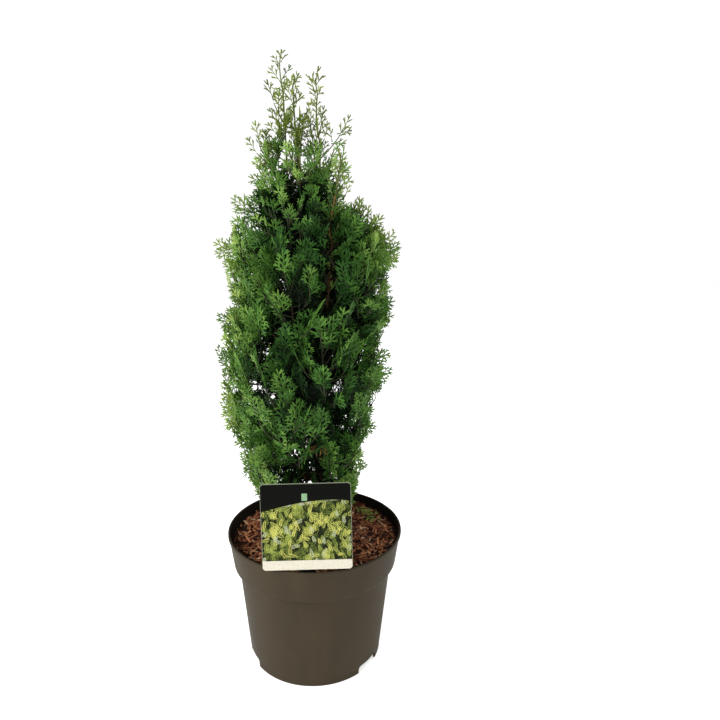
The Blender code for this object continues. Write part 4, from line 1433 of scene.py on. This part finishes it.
# A spray's green, as a place in GREENS: at the outline, and by how much a metre it darkens inward, forward
# and to the right, and pales on the upper right shoulder. These paint light and shade into the greens:
# painted shade inside the crown, on its front and on its right side, painted light on the upper right
# shoulder and, past
# GREEN_RIGHT_FROM, on the left side. High sprays are paler and never the darkest.
GREEN_START = 2.0
GREEN_INWARD = 105.0
GREEN_FORWARD, FORWARD_FROM = 21.0, 0.025
SHOULDER_PALER, SHOULDER_FROM, SHOULDER_FOOT, SHOULDER_BLEND = 32.0, 0.006, 0.57, 0.05
GREEN_RIGHT, GREEN_RIGHT_FROM = 7.0, -0.01
HIGH_FROM, HIGH_BLEND = 0.66, 0.10
DARKEST, DARKEST_HIGH = 7.4, 2.2
GREEN_GAUSS = 0.4
# The front leader's stem shows between these heights: nothing grows forward of this depth in a strip that
# follows the stem, given by a point on it (x, z), its slant and half the strip's width.
STEM_SHOWN = (0.53, 0.69)
STEM_SHOWN_BEFORE = -0.050
STEM_SHOWN_AT = (0.011, 0.47)
STEM_SHOWN_SLANT = 0.083
STEM_SHOWN_HALF = 0.011
# Shoots that start deep in the crown are brown, and deeper ones carry coarse sprays; high ones are open.
BROWN_FROM = 0.45
INNER_FROM = 0.55
INNER_TIP_FROM = 0.22
OPEN_FROM = 0.735
PLUME_HEAD = 0.034
PLUME_TURNS = (32.0, 48.0)
BRANCHLET_RADII = (0.0010, 0.0009, 0.0008, 0.0007, 0.0005)
BRANCHLET_SHARES = (0.78, 0.56, 0.36)
BRANCHLET_PLUMES = (0.044, 0.070)
# A mass's stem carries branchlets from here on, over this length, fanned out and rising (degrees).
SHOOTS_FROM = 0.0070
SHOOTS_OVER = 0.0620
SHOOTS_FAN = 250.0
RISES = (-12.0, 62.0)
LOWEST_RISES = (-34.0, 62.0)
SHORTEST_BRANCHLET = 0.0180
INNER_SHOOTS = 12
INNER_SHOOT_LENGTHS = (0.036, 0.062)
CORE_LONGEST = 0.085


def outside_cell(point, middle, others):
    """True if a point is clearly nearer to another mass than to its own."""
    squeeze = Vector((1.0, 1.0, CELL_FLATTEN**2))
    for other in others:
        normal = (other - middle) * squeeze
        if (point - (other + middle) / 2).dot(normal) / normal.length > CELL_OVERLAP:
            return True
    return False


def depth_at(point):
    """How far a point sits inside the crown: 0 at its outline, 1 on its axis."""
    middle, radius = crown_middle(point.z)
    return 1.0 - (point - middle).length / radius


def outside_crown(point, margin):
    return depth_at(point) < margin or not CROWN[0][0] < point.z < CROWN[-1][0]


def reach_along(root, ahead, middle, others, margin):
    """How far a straight line from root stays in a mass's space."""
    reach = 0.0
    while reach < REACH_LIMIT:
        point = root + ahead * (reach + REACH_STEP)
        if outside_cell(point, middle, others) or outside_crown(point, margin):
            return reach
        reach += REACH_STEP
    return reach


def green_at(point, rng):
    """The green of a spray at a point, with a little chance; it carries the crown's painted light and shade.
    """
    middle, radius = crown_middle(point.z)
    inside = max(0.0, radius - (point - middle).length)
    # Painted shade: darker the deeper inside the crown and the further forward a spray sits.
    green = GREEN_START + GREEN_INWARD * inside + GREEN_FORWARD * max(0.0, -point.y - FORWARD_FROM)
    high = max(0.0, point.z - HIGH_FROM) / HIGH_BLEND
    right = max(0.0, point.x - SHOULDER_FROM)
    # Painted light: paler on the upper right shoulder.
    green -= SHOULDER_PALER * right * min(1.0, max(0.0, point.z - SHOULDER_FOOT) / SHOULDER_BLEND)
    # Painted light and shade of one side: paler to the left, darker to the right.
    green += GREEN_RIGHT * (point.x - GREEN_RIGHT_FROM) * (0.2 if point.x > 0 else 2.0)
    # High up, paler, and the painted shade is capped lower.
    return min(green - 0.3 * high, DARKEST - DARKEST_HIGH * high) + rng.gauss(0.0, GREEN_GAUSS)


def before_leader(point):
    """True in front of the front leader's stem, which stays in sight."""
    low, high = STEM_SHOWN
    stem = STEM_SHOWN_AT[0] + STEM_SHOWN_SLANT * (point.z - STEM_SHOWN_AT[1])
    return low < point.z < high and point.y < STEM_SHOWN_BEFORE and abs(point.x - stem) < STEM_SHOWN_HALF


def bezier(foot, bend, tip, count):
    path = []
    for i in range(count + 1):
        t = i / count
        path.append(foot * (1 - t) ** 2 + bend * (2 * t * (1 - t)) + tip * t**2)
    return path


def point_along(path, distance):
    """Point at a distance along a list of points."""
    for low, high in zip(path, path[1:]):
        step = (high - low).length
        if distance <= step:
            return low.lerp(high, max(0.0, distance) / step)
        distance -= step
    return path[-1]


def path_length(path):
    return sum((b - a).length for a, b in zip(path, path[1:]))


def spiral(k):
    """The kth of a row of azimuths that never line up."""
    return 2 * math.pi * ((k * GOLDEN) % 1.0)


def grow_plume(
    grower, foot, tip, sag, roll, top=False, dense=1.0, thick=0.0011, greens=0.0, widest=0.040, free=False
):
    """One shoot with alternate flat sprays in its own plane and a last spray at its tip.

    Its plane is rolled about the shoot; a free one may leave the crown's outline.
    """
    rng = grower.rng
    span = tip - foot
    length = span.length
    flat = Vector((span.x, span.y, 0.0))
    out = flat.normalized() if flat.length > 1e-4 else Vector((1.0, 0.0, 0.0))
    bend = foot.lerp(tip, 0.5) + out * (0.10 * length) - UP * (sag * length)
    path = bezier(foot, bend, tip, 7)
    head = min(PLUME_HEAD, 0.55 * length)
    neck = point_along(path, length - head)
    twig = [p for p in path if (p - foot).length < length - head + 0.004] + [neck]
    radii = [thick * (1.0 - 0.55 * i / len(twig)) for i in range(len(twig))]
    deep = depth_at(foot)
    grower.tube("twig_brown" if deep > BROWN_FROM else "twig_green" if top else "twig_olive", twig, radii)
    aim = (tip - neck).normalized()
    normal = Matrix.Rotation(roll, 3, span.normalized()) @ out.cross(UP)
    greens += max(-0.7, rng.gauss(0.0, 0.65))
    kind = "inner" if deep > INNER_FROM and depth_at(tip) > INNER_TIP_FROM else "lace"
    if top and tip.z > OPEN_FROM:
        kind = "open"

    def shade(point):
        return rng.gauss(1.0, 0.6) if kind == "open" else green_at(point, rng) + greens

    green = shade(neck.lerp(tip, 0.5))
    grower.spray(kind, head, neck, aim, normal, green, rng.uniform(-3, 5), rng.uniform(-2, 2), top)
    at = rng.uniform(0.006, 0.012)
    side = rng.choice((-1, 1))
    while at < length - 0.6 * head:
        root = point_along(path, at)
        ahead = (point_along(path, at + 0.006) - root).normalized()
        beside = normal.cross(ahead).normalized()
        turn = drawn_angle(rng, PLUME_TURNS)
        aim = (ahead * math.cos(turn) + beside * (side * math.sin(turn)) + UP * 0.12).normalized()
        size = min(widest, 0.42 * (length - at) + 0.010) * rng.uniform(0.85, 1.12)
        least = max(0.011, 0.6 * size)
        limit = rng.uniform(-0.05, 0.05)
        while not free and size > least and outside_crown(root + aim * size, limit):
            size -= TRIM_STEP
        if size > least:
            tilt = Matrix.Rotation(rng.gauss(0.0, 0.35), 3, aim) @ normal
            green = shade(root + aim * (size * 0.6))
            grower.spray(kind, size, root, aim, tilt, green, rng.uniform(-5, 6), rng.uniform(-3, 3), top)
        at += rng.uniform(0.0075, 0.0115) / dense
        side = -side


def mass_middles():
    """Middles of every mass, by name."""
    middles = {name: middle for name, middle, _, _ in ring_masses()}
    lines = limb_lines()
    for name, limb, tip in TOP_MASSES:
        foot = lines[limb][-1]
        height = FRONT_MASS_HEIGHT if name == "mass_front" else TOP_MASS_HEIGHT
        middles[name] = foot.lerp(Vector(tip), (height - foot.z) / (tip[2] - foot.z))
    return middles


def grow_branchlet(grower, root, way, reach):
    """A twig to the crown's outline that carries upright plumes on its outer part."""
    rng = grower.rng
    tip = root + way * reach
    twig = bezier(root, root.lerp(tip, 0.5) - UP * (0.10 * reach), tip, 5)
    grower.tube("twig_olive", twig[:-1], BRANCHLET_RADII)
    out = Vector((way.x, way.y, 0.0)).normalized()
    across = Vector((-out.y, out.x, 0.0))
    for share in BRANCHLET_SHARES:
        start = point_along(twig, reach * (share + rng.uniform(-0.06, 0.06)))
        lean = way * 0.50 + UP * rng.uniform(0.7, 1.3) + across * rng.gauss(0.0, 0.30)
        lean.normalize()
        size = rng.uniform(*BRANCHLET_PLUMES)
        margin = 0.06 if start.z > 0.60 else rng.uniform(-0.10, 0.05)
        while size > 0.020 and outside_crown(start + lean * size, margin):
            size -= TRIM_STEP
        roll = math.radians(rng.choice((-1, 1)) * (rng.uniform(5.0, 50.0) + 36.0 * abs(out.y)))
        sag = rng.uniform(0.02, 0.12)
        grow_plume(grower, start, start + lean * size, sag, roll, dense=1.5, thick=0.0009, widest=0.021)


def grow_inner_shoots(grower, line, outward):
    """Short shoots on a bough, their greens darkened as painted shade of the crown's inside."""
    rng = grower.rng
    for k in range(INNER_SHOOTS):
        root = point_along(line, 0.012 + 0.0065 * k)
        swing = rng.uniform(-1.9, 1.9)
        way = (Matrix.Rotation(swing, 3, "Z") @ outward + UP * rng.uniform(0.2, 1.3)).normalized()
        tip = root + way * rng.uniform(*INNER_SHOOT_LENGTHS)
        if not outside_crown(tip, 0.05):
            roll = drawn_angle(rng, (-80.0, 80.0))
            grow_plume(grower, root, tip, 0.08, roll, dense=0.8, greens=1.2, widest=0.036)


def grow_dense_masses(grower, shoots):
    """Each ring mass: a stem on from its bough, with branchlets that turn round it from low to high."""
    middles = mass_middles()
    rng = grower.rng
    for name, middle, outward, rank in ring_masses():
        others = [place for other, place in middles.items() if other != name]
        line = bough_line(middle, outward, rank, 8)
        foot = line[-1]
        lead = foot + (foot - line[-2]).normalized() * STEM_LEAD
        stem_top = middle + outward * STEM_TOP_OUT + UP * STEM_TOP_UP
        stem = [foot, lead, lead.lerp(stem_top, 0.5), stem_top]
        grower.tube("twig_brown", stem, [STEM_RADIUS * s for s in (1.0, 0.95, 0.75, 0.5)])
        low, high = LOWEST_RISES if name.startswith("mass_1") else RISES
        for k in range(shoots):
            share = k / (shoots - 1)
            root = point_along(stem, SHOOTS_FROM + share * SHOOTS_OVER)
            swing = math.radians(((k * GOLDEN) % 1.0 - 0.5) * SHOOTS_FAN)
            side = Matrix.Rotation(swing, 3, "Z") @ outward
            rise = math.radians(low + (high - low) * share + rng.uniform(-9.0, 9.0))
            way = side * math.cos(rise) + UP * math.sin(rise)
            reach = reach_along(root, way, middle, others, rng.uniform(-0.02, 0.10))
            if reach >= SHORTEST_BRANCHLET:
                grow_branchlet(grower, root, way, reach)
        grow_inner_shoots(grower, line, outward)


def grow_core(grower):
    """Short shoots on the trunk and the leaders, which close the crown's heart; their greens are darkened as
    painted shade.
    """
    rng = grower.rng
    lines = limb_lines(8)
    for limb, low, high, spacing in CORE_LIMBS:
        k, height = 0, low
        while height < high:
            root = point_at_height(lines[limb], height)
            swing = spiral(k)
            way = Vector((math.sin(swing), -math.cos(swing), rng.uniform(0.2, 1.2))).normalized()
            _, radius = crown_middle(height)
            size = min(CORE_LONGEST, radius * rng.uniform(0.45, 0.80))
            roll = drawn_angle(rng, (-90.0, 90.0))
            grow_plume(grower, root, root + way * size, 0.06, roll, dense=0.9, greens=1.0)
            height += spacing
            k += 1


# ---------------------------------------------------------------- foliage: chosen shoots
# Limbs that the core's shoots stand on: limb, lowest and highest of them, spacing.
CORE_LIMBS = (
    ("trunk", 0.235, 0.690, 0.0030),
    ("leader_left", 0.600, 0.690, 0.0060),
    ("leader_right", 0.550, 0.690, 0.0060),
    ("leader_front", 0.450, 0.620, 0.0050),
)

# The limbs' last lengths: limb, points that the stem passes.
TOP_STEMS = (
    ("leader_left", (
        (-0.0382, -0.0030, 0.7987), (-0.0399, -0.0030, 0.8077), (-0.0419, -0.0030, 0.8298),
        (-0.0386, -0.0030, 0.8475),
    )),
    ("trunk", (
        (-0.0227, 0.0000, 0.7517), (-0.0247, 0.0000, 0.7814), (-0.0257, 0.0000, 0.8030),
        (-0.0235, 0.0000, 0.8180),
    )),
    ("leader_right", (
        (0.0042, -0.0020, 0.7589), (0.0038, -0.0020, 0.7818), (0.0050, -0.0020, 0.7977),
        (0.0033, -0.0020, 0.8102), (0.0062, -0.0020, 0.8300),
    )),
    ("leader_front", (
        (0.0194, -0.0460, 0.6321), (0.0249, -0.0460, 0.6634), (0.0281, -0.0460, 0.6773),
        (0.0320, -0.0455, 0.7050), (0.0340, -0.0450, 0.7240),
    )),
)
# Open shoots on the leaders: foot and tip of each, in millimetres.
TOP_SHOOTS = (
    (-40, -3, 808, -54, -2, 829), (-38, -3, 815, -27, 4, 832), (-38, -3, 791, -34, -6, 811),
    (-41, -3, 829, -50, 4, 843), (-40, -3, 833, -35, 6, 844), (-39, -3, 775, -44, -14, 798),
    (-26, 0, 803, -28, -4, 818), (-26, 0, 806, -18, 3, 823), (-26, 0, 799, -19, -6, 807),
    (-25, 0, 781, -34, -4, 811), (-25, 0, 780, -14, 4, 800), (-23, 0, 752, -37, -6, 765),
    (-26, 0, 756, -30, -3, 771), (3, -2, 798, -6, 4, 820), (3, -2, 808, -3, -6, 820),
    (4, -2, 808, 12, 4, 822), (5, -2, 797, 10, -7, 807), (4, -2, 782, -4, -4, 789), (7, -2, 760, 15, -8, 783),
    (7, -2, 751, 18, -4, 764), (24, 0, 740, 21, 6, 760), (21, 0, 751, 10, -4, 750), (23, 0, 738, 42, -8, 739),
    (30, 0, 750, 50, 4, 757), (-38, -3, 790, -48, 12, 806), (-25, 0, 790, -20, 14, 806),
    (4, -2, 770, 6, 16, 792), (4, -2, 790, 0, 12, 806), (-38, -3, 800, -32, 12, 818),
    (-25, 0, 770, -28, 18, 790),
)
# Denser plumes near the top: foot and tip, in millimetres.
TOP_PLUMES = (
    (-39, -3, 764, -57, -10, 813), (-39, -3, 752, -57, 10, 783), (-38, -3, 741, -60, 8, 764),
    (-22, 0, 742, -12, 10, 778), (-1, -2, 744, -7, 8, 790), (-5, -2, 739, -18, -12, 769),
    (3, -2, 714, 48, 0, 774), (-50, 0, 729, -66, 0, 755), (-60, 0, 722, -75, -6, 764),
    (-60, 0, 712, -86, 6, 745), (-58, 0, 708, -80, 10, 720), (-55, 0, 688, -85, -10, 695),
    (15, 0, 686, 27, 0, 716), (22, 0, 690, 37, 6, 725), (26, 0, 688, 44, -8, 715), (28, 0, 676, 50, 2, 699),
    (-36, -3, 732, -46, -26, 764), (-22, 0, 722, -26, -30, 752), (6, -2, 712, 10, -30, 742),
    (-36, -3, 732, -44, 26, 764), (-22, 0, 724, -24, 32, 756), (6, -2, 714, 10, 30, 746),
    (6, -2, 705, 34, 20, 736), (-36, -3, 725, -62, 24, 746), (6, -2, 700, 28, -22, 726),
    (-36, -3, 715, -62, -24, 735), (-22, 0, 715, -20, -25, 765), (-23, 0, 725, -10, -12, 768),
    (-36, -3, 735, -36, -22, 772), (5, -2, 720, 4, -24, 768), (-22, 0, 698, -14, -20, 744),
    (5, -2, 698, -9, -18, 740), (-22, 0, 706, -17, -14, 758), (4, -2, 706, -3, -22, 750),
    (-22, 0, 700, -30, -22, 742), (-23, 0, 735, -30, 15, 772), (5, -2, 735, -6, 12, 770),
    (6, -2, 728, 20, -10, 765), (-37, -3, 745, -50, -8, 778), (-22, 0, 745, -16, -8, 782),
    (-37, -3, 755, -30, 6, 785), (5, -2, 745, 12, 4, 778),
)
# Plumes round the front leader: foot and tip, in millimetres.
FRONT_PLUMES = (
    (20, -42, 604, 46, -64, 640), (22, -42, 612, 48, -46, 648), (20, -42, 590, 66, -60, 622),
    (19, -42, 585, 44, -84, 620), (20, -42, 580, 58, -80, 604), (21, -42, 620, 44, -58, 658),
    (18, -42, 600, -6, -76, 640), (19, -42, 610, 2, -70, 652), (20, -42, 596, 52, -72, 616),
    (20, -42, 606, 62, -38, 638), (20, -42, 626, 46, -44, 664), (20, -42, 612, 44, -30, 656),
    (20, -42, 600, 46, -74, 634), (18, -42, 590, -6, -84, 622),
)
# Plumes that stand out at the crown's sides, a little paler as painted light: foot and tip, in millimetres.
SIDE_PLUMES = (
    (20, -10, 600, 42, -34, 648), (12, -5, 618, 32, -34, 664), (26, 10, 606, 44, 22, 652),
    (10, 5, 620, 30, 20, 668), (-4, -8, 610, -2, -44, 655), (-70, 0, 592, -133, -10, 611),
    (-72, 0, 622, -110, 10, 644), (-66, 0, 645, -106, -15, 671), (-70, 0, 562, -121, 10, 577),
    (-70, 0, 540, -117, -10, 555), (-66, 0, 503, -115, 0, 525), (-72, 0, 484, -128, -20, 520),
    (-66, 0, 382, -134, 0, 399), (-66, 0, 360, -133, -10, 375), (-62, 0, 352, -127, 10, 350),
    (-60, 0, 352, -114, -10, 328), (-52, 0, 322, -103, -20, 286), (-50, 0, 312, -95, -10, 273),
    (56, 0, 590, 111, 0, 627), (60, 0, 580, 114, -12, 616), (60, 0, 570, 116, 10, 602),
    (46, 0, 582, 98, 0, 622), (42, 0, 604, 94, 0, 649), (26, 0, 622, 69, 10, 666), (56, 0, 520, 112, 0, 536),
    (54, 0, 496, 112, 10, 514), (52, 0, 440, 108, 0, 461), (52, 0, 420, 109, -10, 442),
    (34, 0, 356, 90, 0, 348), (28, 0, 322, 77, 0, 288),
)
# Plumes that close the crown's heart, their greens darkened as painted shade: foot and tip, in millimetres.
HEART_PLUMES = (
    (-16, 0, 440, -60, 5, 478), (-16, 0, 450, -70, -20, 474), (-14, 0, 430, -66, 18, 480),
    (-14, 5, 440, -55, -30, 482), (-16, 0, 460, -56, 24, 500), (-14, 0, 400, -60, -10, 440),
    (-10, 0, 380, 36, -30, 410), (-10, 0, 370, 44, 10, 398), (-12, 0, 345, 30, 24, 372),
    (-40, 10, 400, -84, 20, 440), (-40, 20, 405, -76, 40, 446), (-44, 0, 415, -88, 8, 455),
    (-40, -10, 380, -82, -16, 412), (-12, 0, 350, -50, -30, 376), (-12, 0, 340, -56, 20, 362),
    (-14, 0, 500, -64, -12, 536), (-14, 0, 510, 30, -30, 548), (-14, 0, 480, 34, 20, 520),
    (-16, 0, 560, -60, 10, 600),
)
# A dry sprig low on the front: its place and the number of stalks.
DRY_SPRIG = Vector((0.0039, -0.0740, 0.3513))
DRY_STALKS = 16
# A fallen sprig on the mulch: place (x, y) of each spray and the way it points.
FALLEN = (
    (0.062, 0.076, -0.5), (0.066, 0.068, -0.9), (0.070, 0.060, -0.3), (0.074, 0.054, -1.1),
    (0.078, 0.048, -0.7),
)
FRONT = Vector((0.0, -1.0, 0.0))
# The upright stems carry short sprays over this last length.
TOP_CLOTHED = 0.085
TOP_SPRAY = 0.0105
TOP_LAST_SPRAY = 0.012
# Plumes up the front leader: how far apart and how long.
LEADER_SPACING = 0.0065
LEADER_LONGEST = 0.030


def millimetres(row):
    return Vector(row[:3]) / 1000.0, Vector(row[3:]) / 1000.0


def grow_plumes(grower, rows, sag, rolls, **look):
    """A plume for each row of a table, with a random roll from a range in degrees."""
    for row in rows:
        foot, tip = millimetres(row)
        roll = drawn_angle(grower.rng, rolls)
        grow_plume(grower, foot, tip, sag, roll, **look)


def grow_open_shoot(grower, foot, tip):
    """A bare thin shoot that ends in a sparse spray."""
    rng = grower.rng
    span = tip - foot
    length = span.length
    size = min(0.034, length * 0.86)
    neck = foot + span * (1.0 - size / length)
    if length - size > 0.002:
        grower.tube("twig_green", [foot, neck + span * 0.05], [0.0008, 0.0006])
    ahead = span.normalized()
    normal = Matrix.Rotation(rng.uniform(-0.6, 0.6), 3, ahead) @ FRONT.cross(span).cross(span).normalized()
    green = rng.gauss(0.9, 0.6)
    grower.spray("open", size, neck, ahead, normal, green, rng.uniform(-4, 4), rng.uniform(-5, 5), True)


def grow_top_stems(grower, lines):
    """The last lengths of the trunk and the leaders, the upright ones with short sprays on either side."""
    rng = grower.rng
    for limb, points in TOP_STEMS:
        path = smooth_path((lines[limb][-1], *points), 5)
        middle = len(path) // 2
        low_bark = "twig_orange" if limb == "leader_front" else "twig_olive"
        grower.tube(low_bark, path[: middle + 1], tapered(0.0011, 0.0009, middle + 1))
        grower.tube("twig_green", path[middle:], tapered(0.0009, 0.0006, len(path) - middle))
        if limb == "leader_front":
            continue
        span = path_length(path)
        at, side = max(0.0, span - TOP_CLOTHED), 1
        while at < span - 0.010:
            root = point_along(path, at)
            ahead = (point_along(path, at + 0.004) - root).normalized()
            aim = (ahead + Vector((side * 0.62, rng.gauss(0.0, 0.35), 0.0))).normalized()
            grower.spray("open", TOP_SPRAY, root, aim, FRONT, rng.gauss(1.0, 0.6), top=True)
            at += rng.uniform(0.0090, 0.0150)
            side = -side
        aim = (path[-1] - path[-2]).normalized()
        grower.spray("open", TOP_LAST_SPRAY, path[-1] - aim * 0.011, aim, FRONT, 1.0, top=True)


def grow_dry_sprig(grower):
    rng = grower.rng
    for k in range(DRY_STALKS):
        swing = 0.42 * (k % 8 - 3.5) + rng.uniform(-0.1, 0.1)
        way = Vector((math.sin(swing), rng.uniform(-0.3, 0.3), -0.75 * math.cos(swing)))
        root = DRY_SPRIG + Vector((rng.uniform(-0.006, 0.006), 0.0, -0.005 * (k // 8)))
        grower.tube("twig_orange", [root, root + way * 0.006, root + way * 0.012], [0.0007, 0.0009, 0.0004])


def clothe_front_leader(grower, line):
    """Short pale plumes all the way up the front leader."""
    rng = grower.rng
    low = [p for p in line if p.z > STEM_SHOWN[0]]
    path = smooth_path((low[0], low[len(low) // 2], low[-1], *dict(TOP_STEMS)["leader_front"]), 6)
    length = path_length(path)
    at, k = 0.004, 0
    while at < length - 0.004:
        root = point_along(path, at)
        ahead = (point_along(path, at + 0.005) - root).normalized()
        swing = spiral(k)
        beside = Vector((math.sin(swing), -0.45 * math.cos(swing), 0.0))
        if beside.y < -0.25 and root.z < STEM_SHOWN[1]:  # the stem stays in sight
            beside.y += 0.5
        size = min(LEADER_LONGEST, 0.35 * (length - at) + 0.012) * rng.uniform(0.8, 1.1)
        tip = root + (ahead * 1.2 + beside * 0.55).normalized() * size
        roll = rng.uniform(-1.4, 1.4)
        pale = 1.4 - green_at(tip, rng)
        look = {"dense": 0.9, "thick": 0.0008, "greens": pale, "widest": 0.017}
        grow_plume(grower, root, tip, 0.05, roll, top=True, **look)
        at += LEADER_SPACING
        k += 1


def grow_top(grower):
    rng = grower.rng
    lines = limb_lines()
    grow_top_stems(grower, lines)
    for row in TOP_SHOOTS:
        grow_open_shoot(grower, *millimetres(row))
    look = {"dense": 1.25, "thick": 0.0009, "greens": 0.2, "widest": 0.026}
    grow_plumes(grower, TOP_PLUMES, 0.06, (-35.0, 35.0), top=True, **look)
    grow_dry_sprig(grower)
    for row in FRONT_PLUMES:
        foot, tip = millimetres(row)
        roll = rng.choice((-1, 1)) * rng.uniform(0.5, 1.5)
        grow_plume(grower, foot, tip, 0.08, roll, top=True, widest=0.026)
    clothe_front_leader(grower, lines["leader_front"])


def strew_fallen_sprig(grower):
    for x, y, turn in FALLEN:
        root = Vector((x, y, bed_height(x, y) + 0.0035))
        ahead = Vector((math.cos(turn), math.sin(turn), 0.04)).normalized()
        grower.spray("open", 0.032, root, ahead, UP, 0.6, -3.0, 2.0)


class THUJA_OT_foliage(bpy.types.Operator):
    """Grow shoots, twigs and flat lace sprays on from the limbs, and join them by colour"""

    bl_idname = "thuja.foliage"
    bl_label = "Foliage"

    def execute(self, context):
        settings = context.scene.thuja_foliage
        for name, colour in (*GREENS, *OLIVES):
            leaf_paint(name, colour)
        for name, colour in TWIGS:
            bark_paint(name, colour, toned(colour, 1.3))
        grower = Grower(settings)
        grow_dense_masses(grower, settings.shoots)
        grow_core(grower)
        # Side plumes a little paler, as painted light.
        grow_plumes(grower, SIDE_PLUMES, 0.10, (-25.0, 25.0), dense=1.3, greens=-0.2, widest=0.028, free=True)
        # Heart plumes darker, as painted shade.
        grow_plumes(grower, HEART_PLUMES, 0.08, (30.0, 90.0), greens=1.0, widest=0.036)
        grow_top(grower)
        strew_fallen_sprig(grower)
        dense = [name for name, *_ in ring_masses()]
        airy = [name for name, *_ in TOP_MASSES]
        grower.finger_pieces({False: dense, True: airy})
        grower.twig_pieces()
        return {"FINISHED"}


# ---------------------------------------------------------------- stage
FLOOR_RADIUS = 6.9
BACKDROP_RADIUS = 7.0
WHITE = (1.0, 1.0, 1.0, 1.0)
# Lamps: name, place, the point that it faces and its width; their strengths are settings.
LAMPS = (
    ("key", (-2.4, -1.1, 2.0), (0.0, 0.0, 0.45), 1.2),
    ("rim", (2.1, 1.3, 1.8), (0.0, 0.0, 0.45), 1.2),
    ("fill", (0.9, -2.4, 1.3), (0.0, 0.0, 0.40), 1.4),
)


def camera_matrix():
    pitch, yaw, roll = (math.radians(angle) for angle in (CAMERA_PITCH, CAMERA_YAW, CAMERA_ROLL))
    ahead = Vector((math.sin(yaw) * math.cos(pitch), math.cos(yaw) * math.cos(pitch), -math.sin(pitch)))
    level = Vector((math.cos(yaw), -math.sin(yaw), 0.0))
    upright = level.cross(ahead)
    right = level * math.cos(roll) + upright * math.sin(roll)
    above = upright * math.cos(roll) - level * math.sin(roll)
    return Matrix.Translation(CAMERA_PLACE) @ Matrix((right, above, -ahead)).transposed().to_4x4()


def add_area(name, place, aim, size, power):
    lamp = bpy.data.lights.new(name, "AREA")
    lamp.shape, lamp.size, lamp.energy = "DISK", size, power
    item = bpy.data.objects.new(name, lamp)
    item.location = place
    item.rotation_euler = (Vector(aim) - Vector(place)).to_track_quat("-Z", "Y").to_euler()
    bpy.context.scene.collection.objects.link(item)


def stage_item(name, shape, paint):
    """Links a bmesh as an object that is no part of the plant."""
    mesh = bpy.data.meshes.new(name)
    shape.to_mesh(mesh)
    shape.free()
    mesh.materials.append(paint.material)
    item = bpy.data.objects.new(name, mesh)
    bpy.context.scene.collection.objects.link(item)
    return item


def glowing_paint(name, grey, roughness, strength):
    return Paint(name, (grey,) * 3, roughness, Emission_Color=WHITE, Emission_Strength=strength)


class THUJA_OT_stage(bpy.types.Operator):
    """Set the pale floor, the soft light and the camera"""

    bl_idname = "thuja.stage"
    bl_label = "Stage"

    def execute(self, context):
        settings = context.scene.thuja_stage
        scene = context.scene
        shape = bmesh.new()
        bmesh.ops.create_circle(shape, cap_ends=True, segments=96, radius=FLOOR_RADIUS)
        white = glowing_paint("studio_white", 0.94, 0.9, 0.60)
        white.colour(white.mix(white.noise(3.0), (0.93, 0.93, 0.93), (0.95, 0.95, 0.95)))
        floor = stage_item("studio_floor", shape, white)

        shape = bmesh.new()
        bmesh.ops.create_icosphere(shape, subdivisions=4, radius=BACKDROP_RADIUS)
        backdrop = stage_item("studio_backdrop", shape, glowing_paint("studio_glow", 0.0, 1.0, 1.05))
        for ray in ("diffuse", "glossy", "transmission", "shadow", "volume_scatter"):
            setattr(backdrop, f"visible_{ray}", False)

        scene.world = bpy.data.worlds.new("studio_surround")
        scene.world.use_nodes = True
        surround = scene.world.node_tree.nodes["Background"]
        surround.inputs["Color"].default_value = WHITE
        surround.inputs["Strength"].default_value = settings.sky
        for name, place, aim, size in LAMPS:
            add_area(f"{name}_lamp", place, aim, size, getattr(settings, name))

        camera = bpy.data.objects.new("camera", bpy.data.cameras.new("camera"))
        scene.collection.objects.link(camera)
        camera.data.sensor_width = 36.0
        camera.data.lens = CAMERA_LENS
        camera.data.clip_start = 0.01
        camera.matrix_world = camera_matrix()
        scene.camera = camera
        scene.view_settings.view_transform = "Standard"
        return {"FINISHED"}


# ---------------------------------------------------------------- panel and run
OPERATORS = (
    THUJA_OT_pot,
    THUJA_OT_filling,
    THUJA_OT_label,
    THUJA_OT_limbs,
    THUJA_OT_foliage,
    THUJA_OT_stage,
)
SETTINGS = (
    ("thuja_pot", PotSettings),
    ("thuja_mulch", MulchSettings),
    ("thuja_label", LabelSettings),
    ("thuja_limbs", LimbSettings),
    ("thuja_foliage", FoliageSettings),
    ("thuja_stage", StageSettings),
)


class THUJA_PT_sidebar(bpy.types.Panel):
    """Lists the pieces and their settings"""

    bl_idname = "THUJA_PT_sidebar"
    bl_label = "Potted Thuja"
    bl_space_type = "VIEW_3D"
    bl_region_type = "UI"
    bl_category = "Thuja"

    def draw(self, context):
        for operator, (group, settings) in zip(OPERATORS, SETTINGS):
            box = self.layout.box()
            box.operator(operator.bl_idname)
            for name in settings.__annotations__:
                box.prop(getattr(context.scene, group), name)


def register():
    for name, settings in SETTINGS:
        bpy.utils.register_class(settings)
        setattr(bpy.types.Scene, name, PointerProperty(type=settings))
    for item in (*OPERATORS, THUJA_PT_sidebar):
        bpy.utils.register_class(item)


def unregister():
    for item in reversed((*OPERATORS, THUJA_PT_sidebar)):
        bpy.utils.unregister_class(item)
    for name, settings in reversed(SETTINGS):
        delattr(bpy.types.Scene, name)
        bpy.utils.unregister_class(settings)


def main():
    register()
    for operator in OPERATORS:
        group, name = operator.bl_idname.split(".")
        getattr(getattr(bpy.ops, group), name)()


if __name__ == "__main__":
    main()
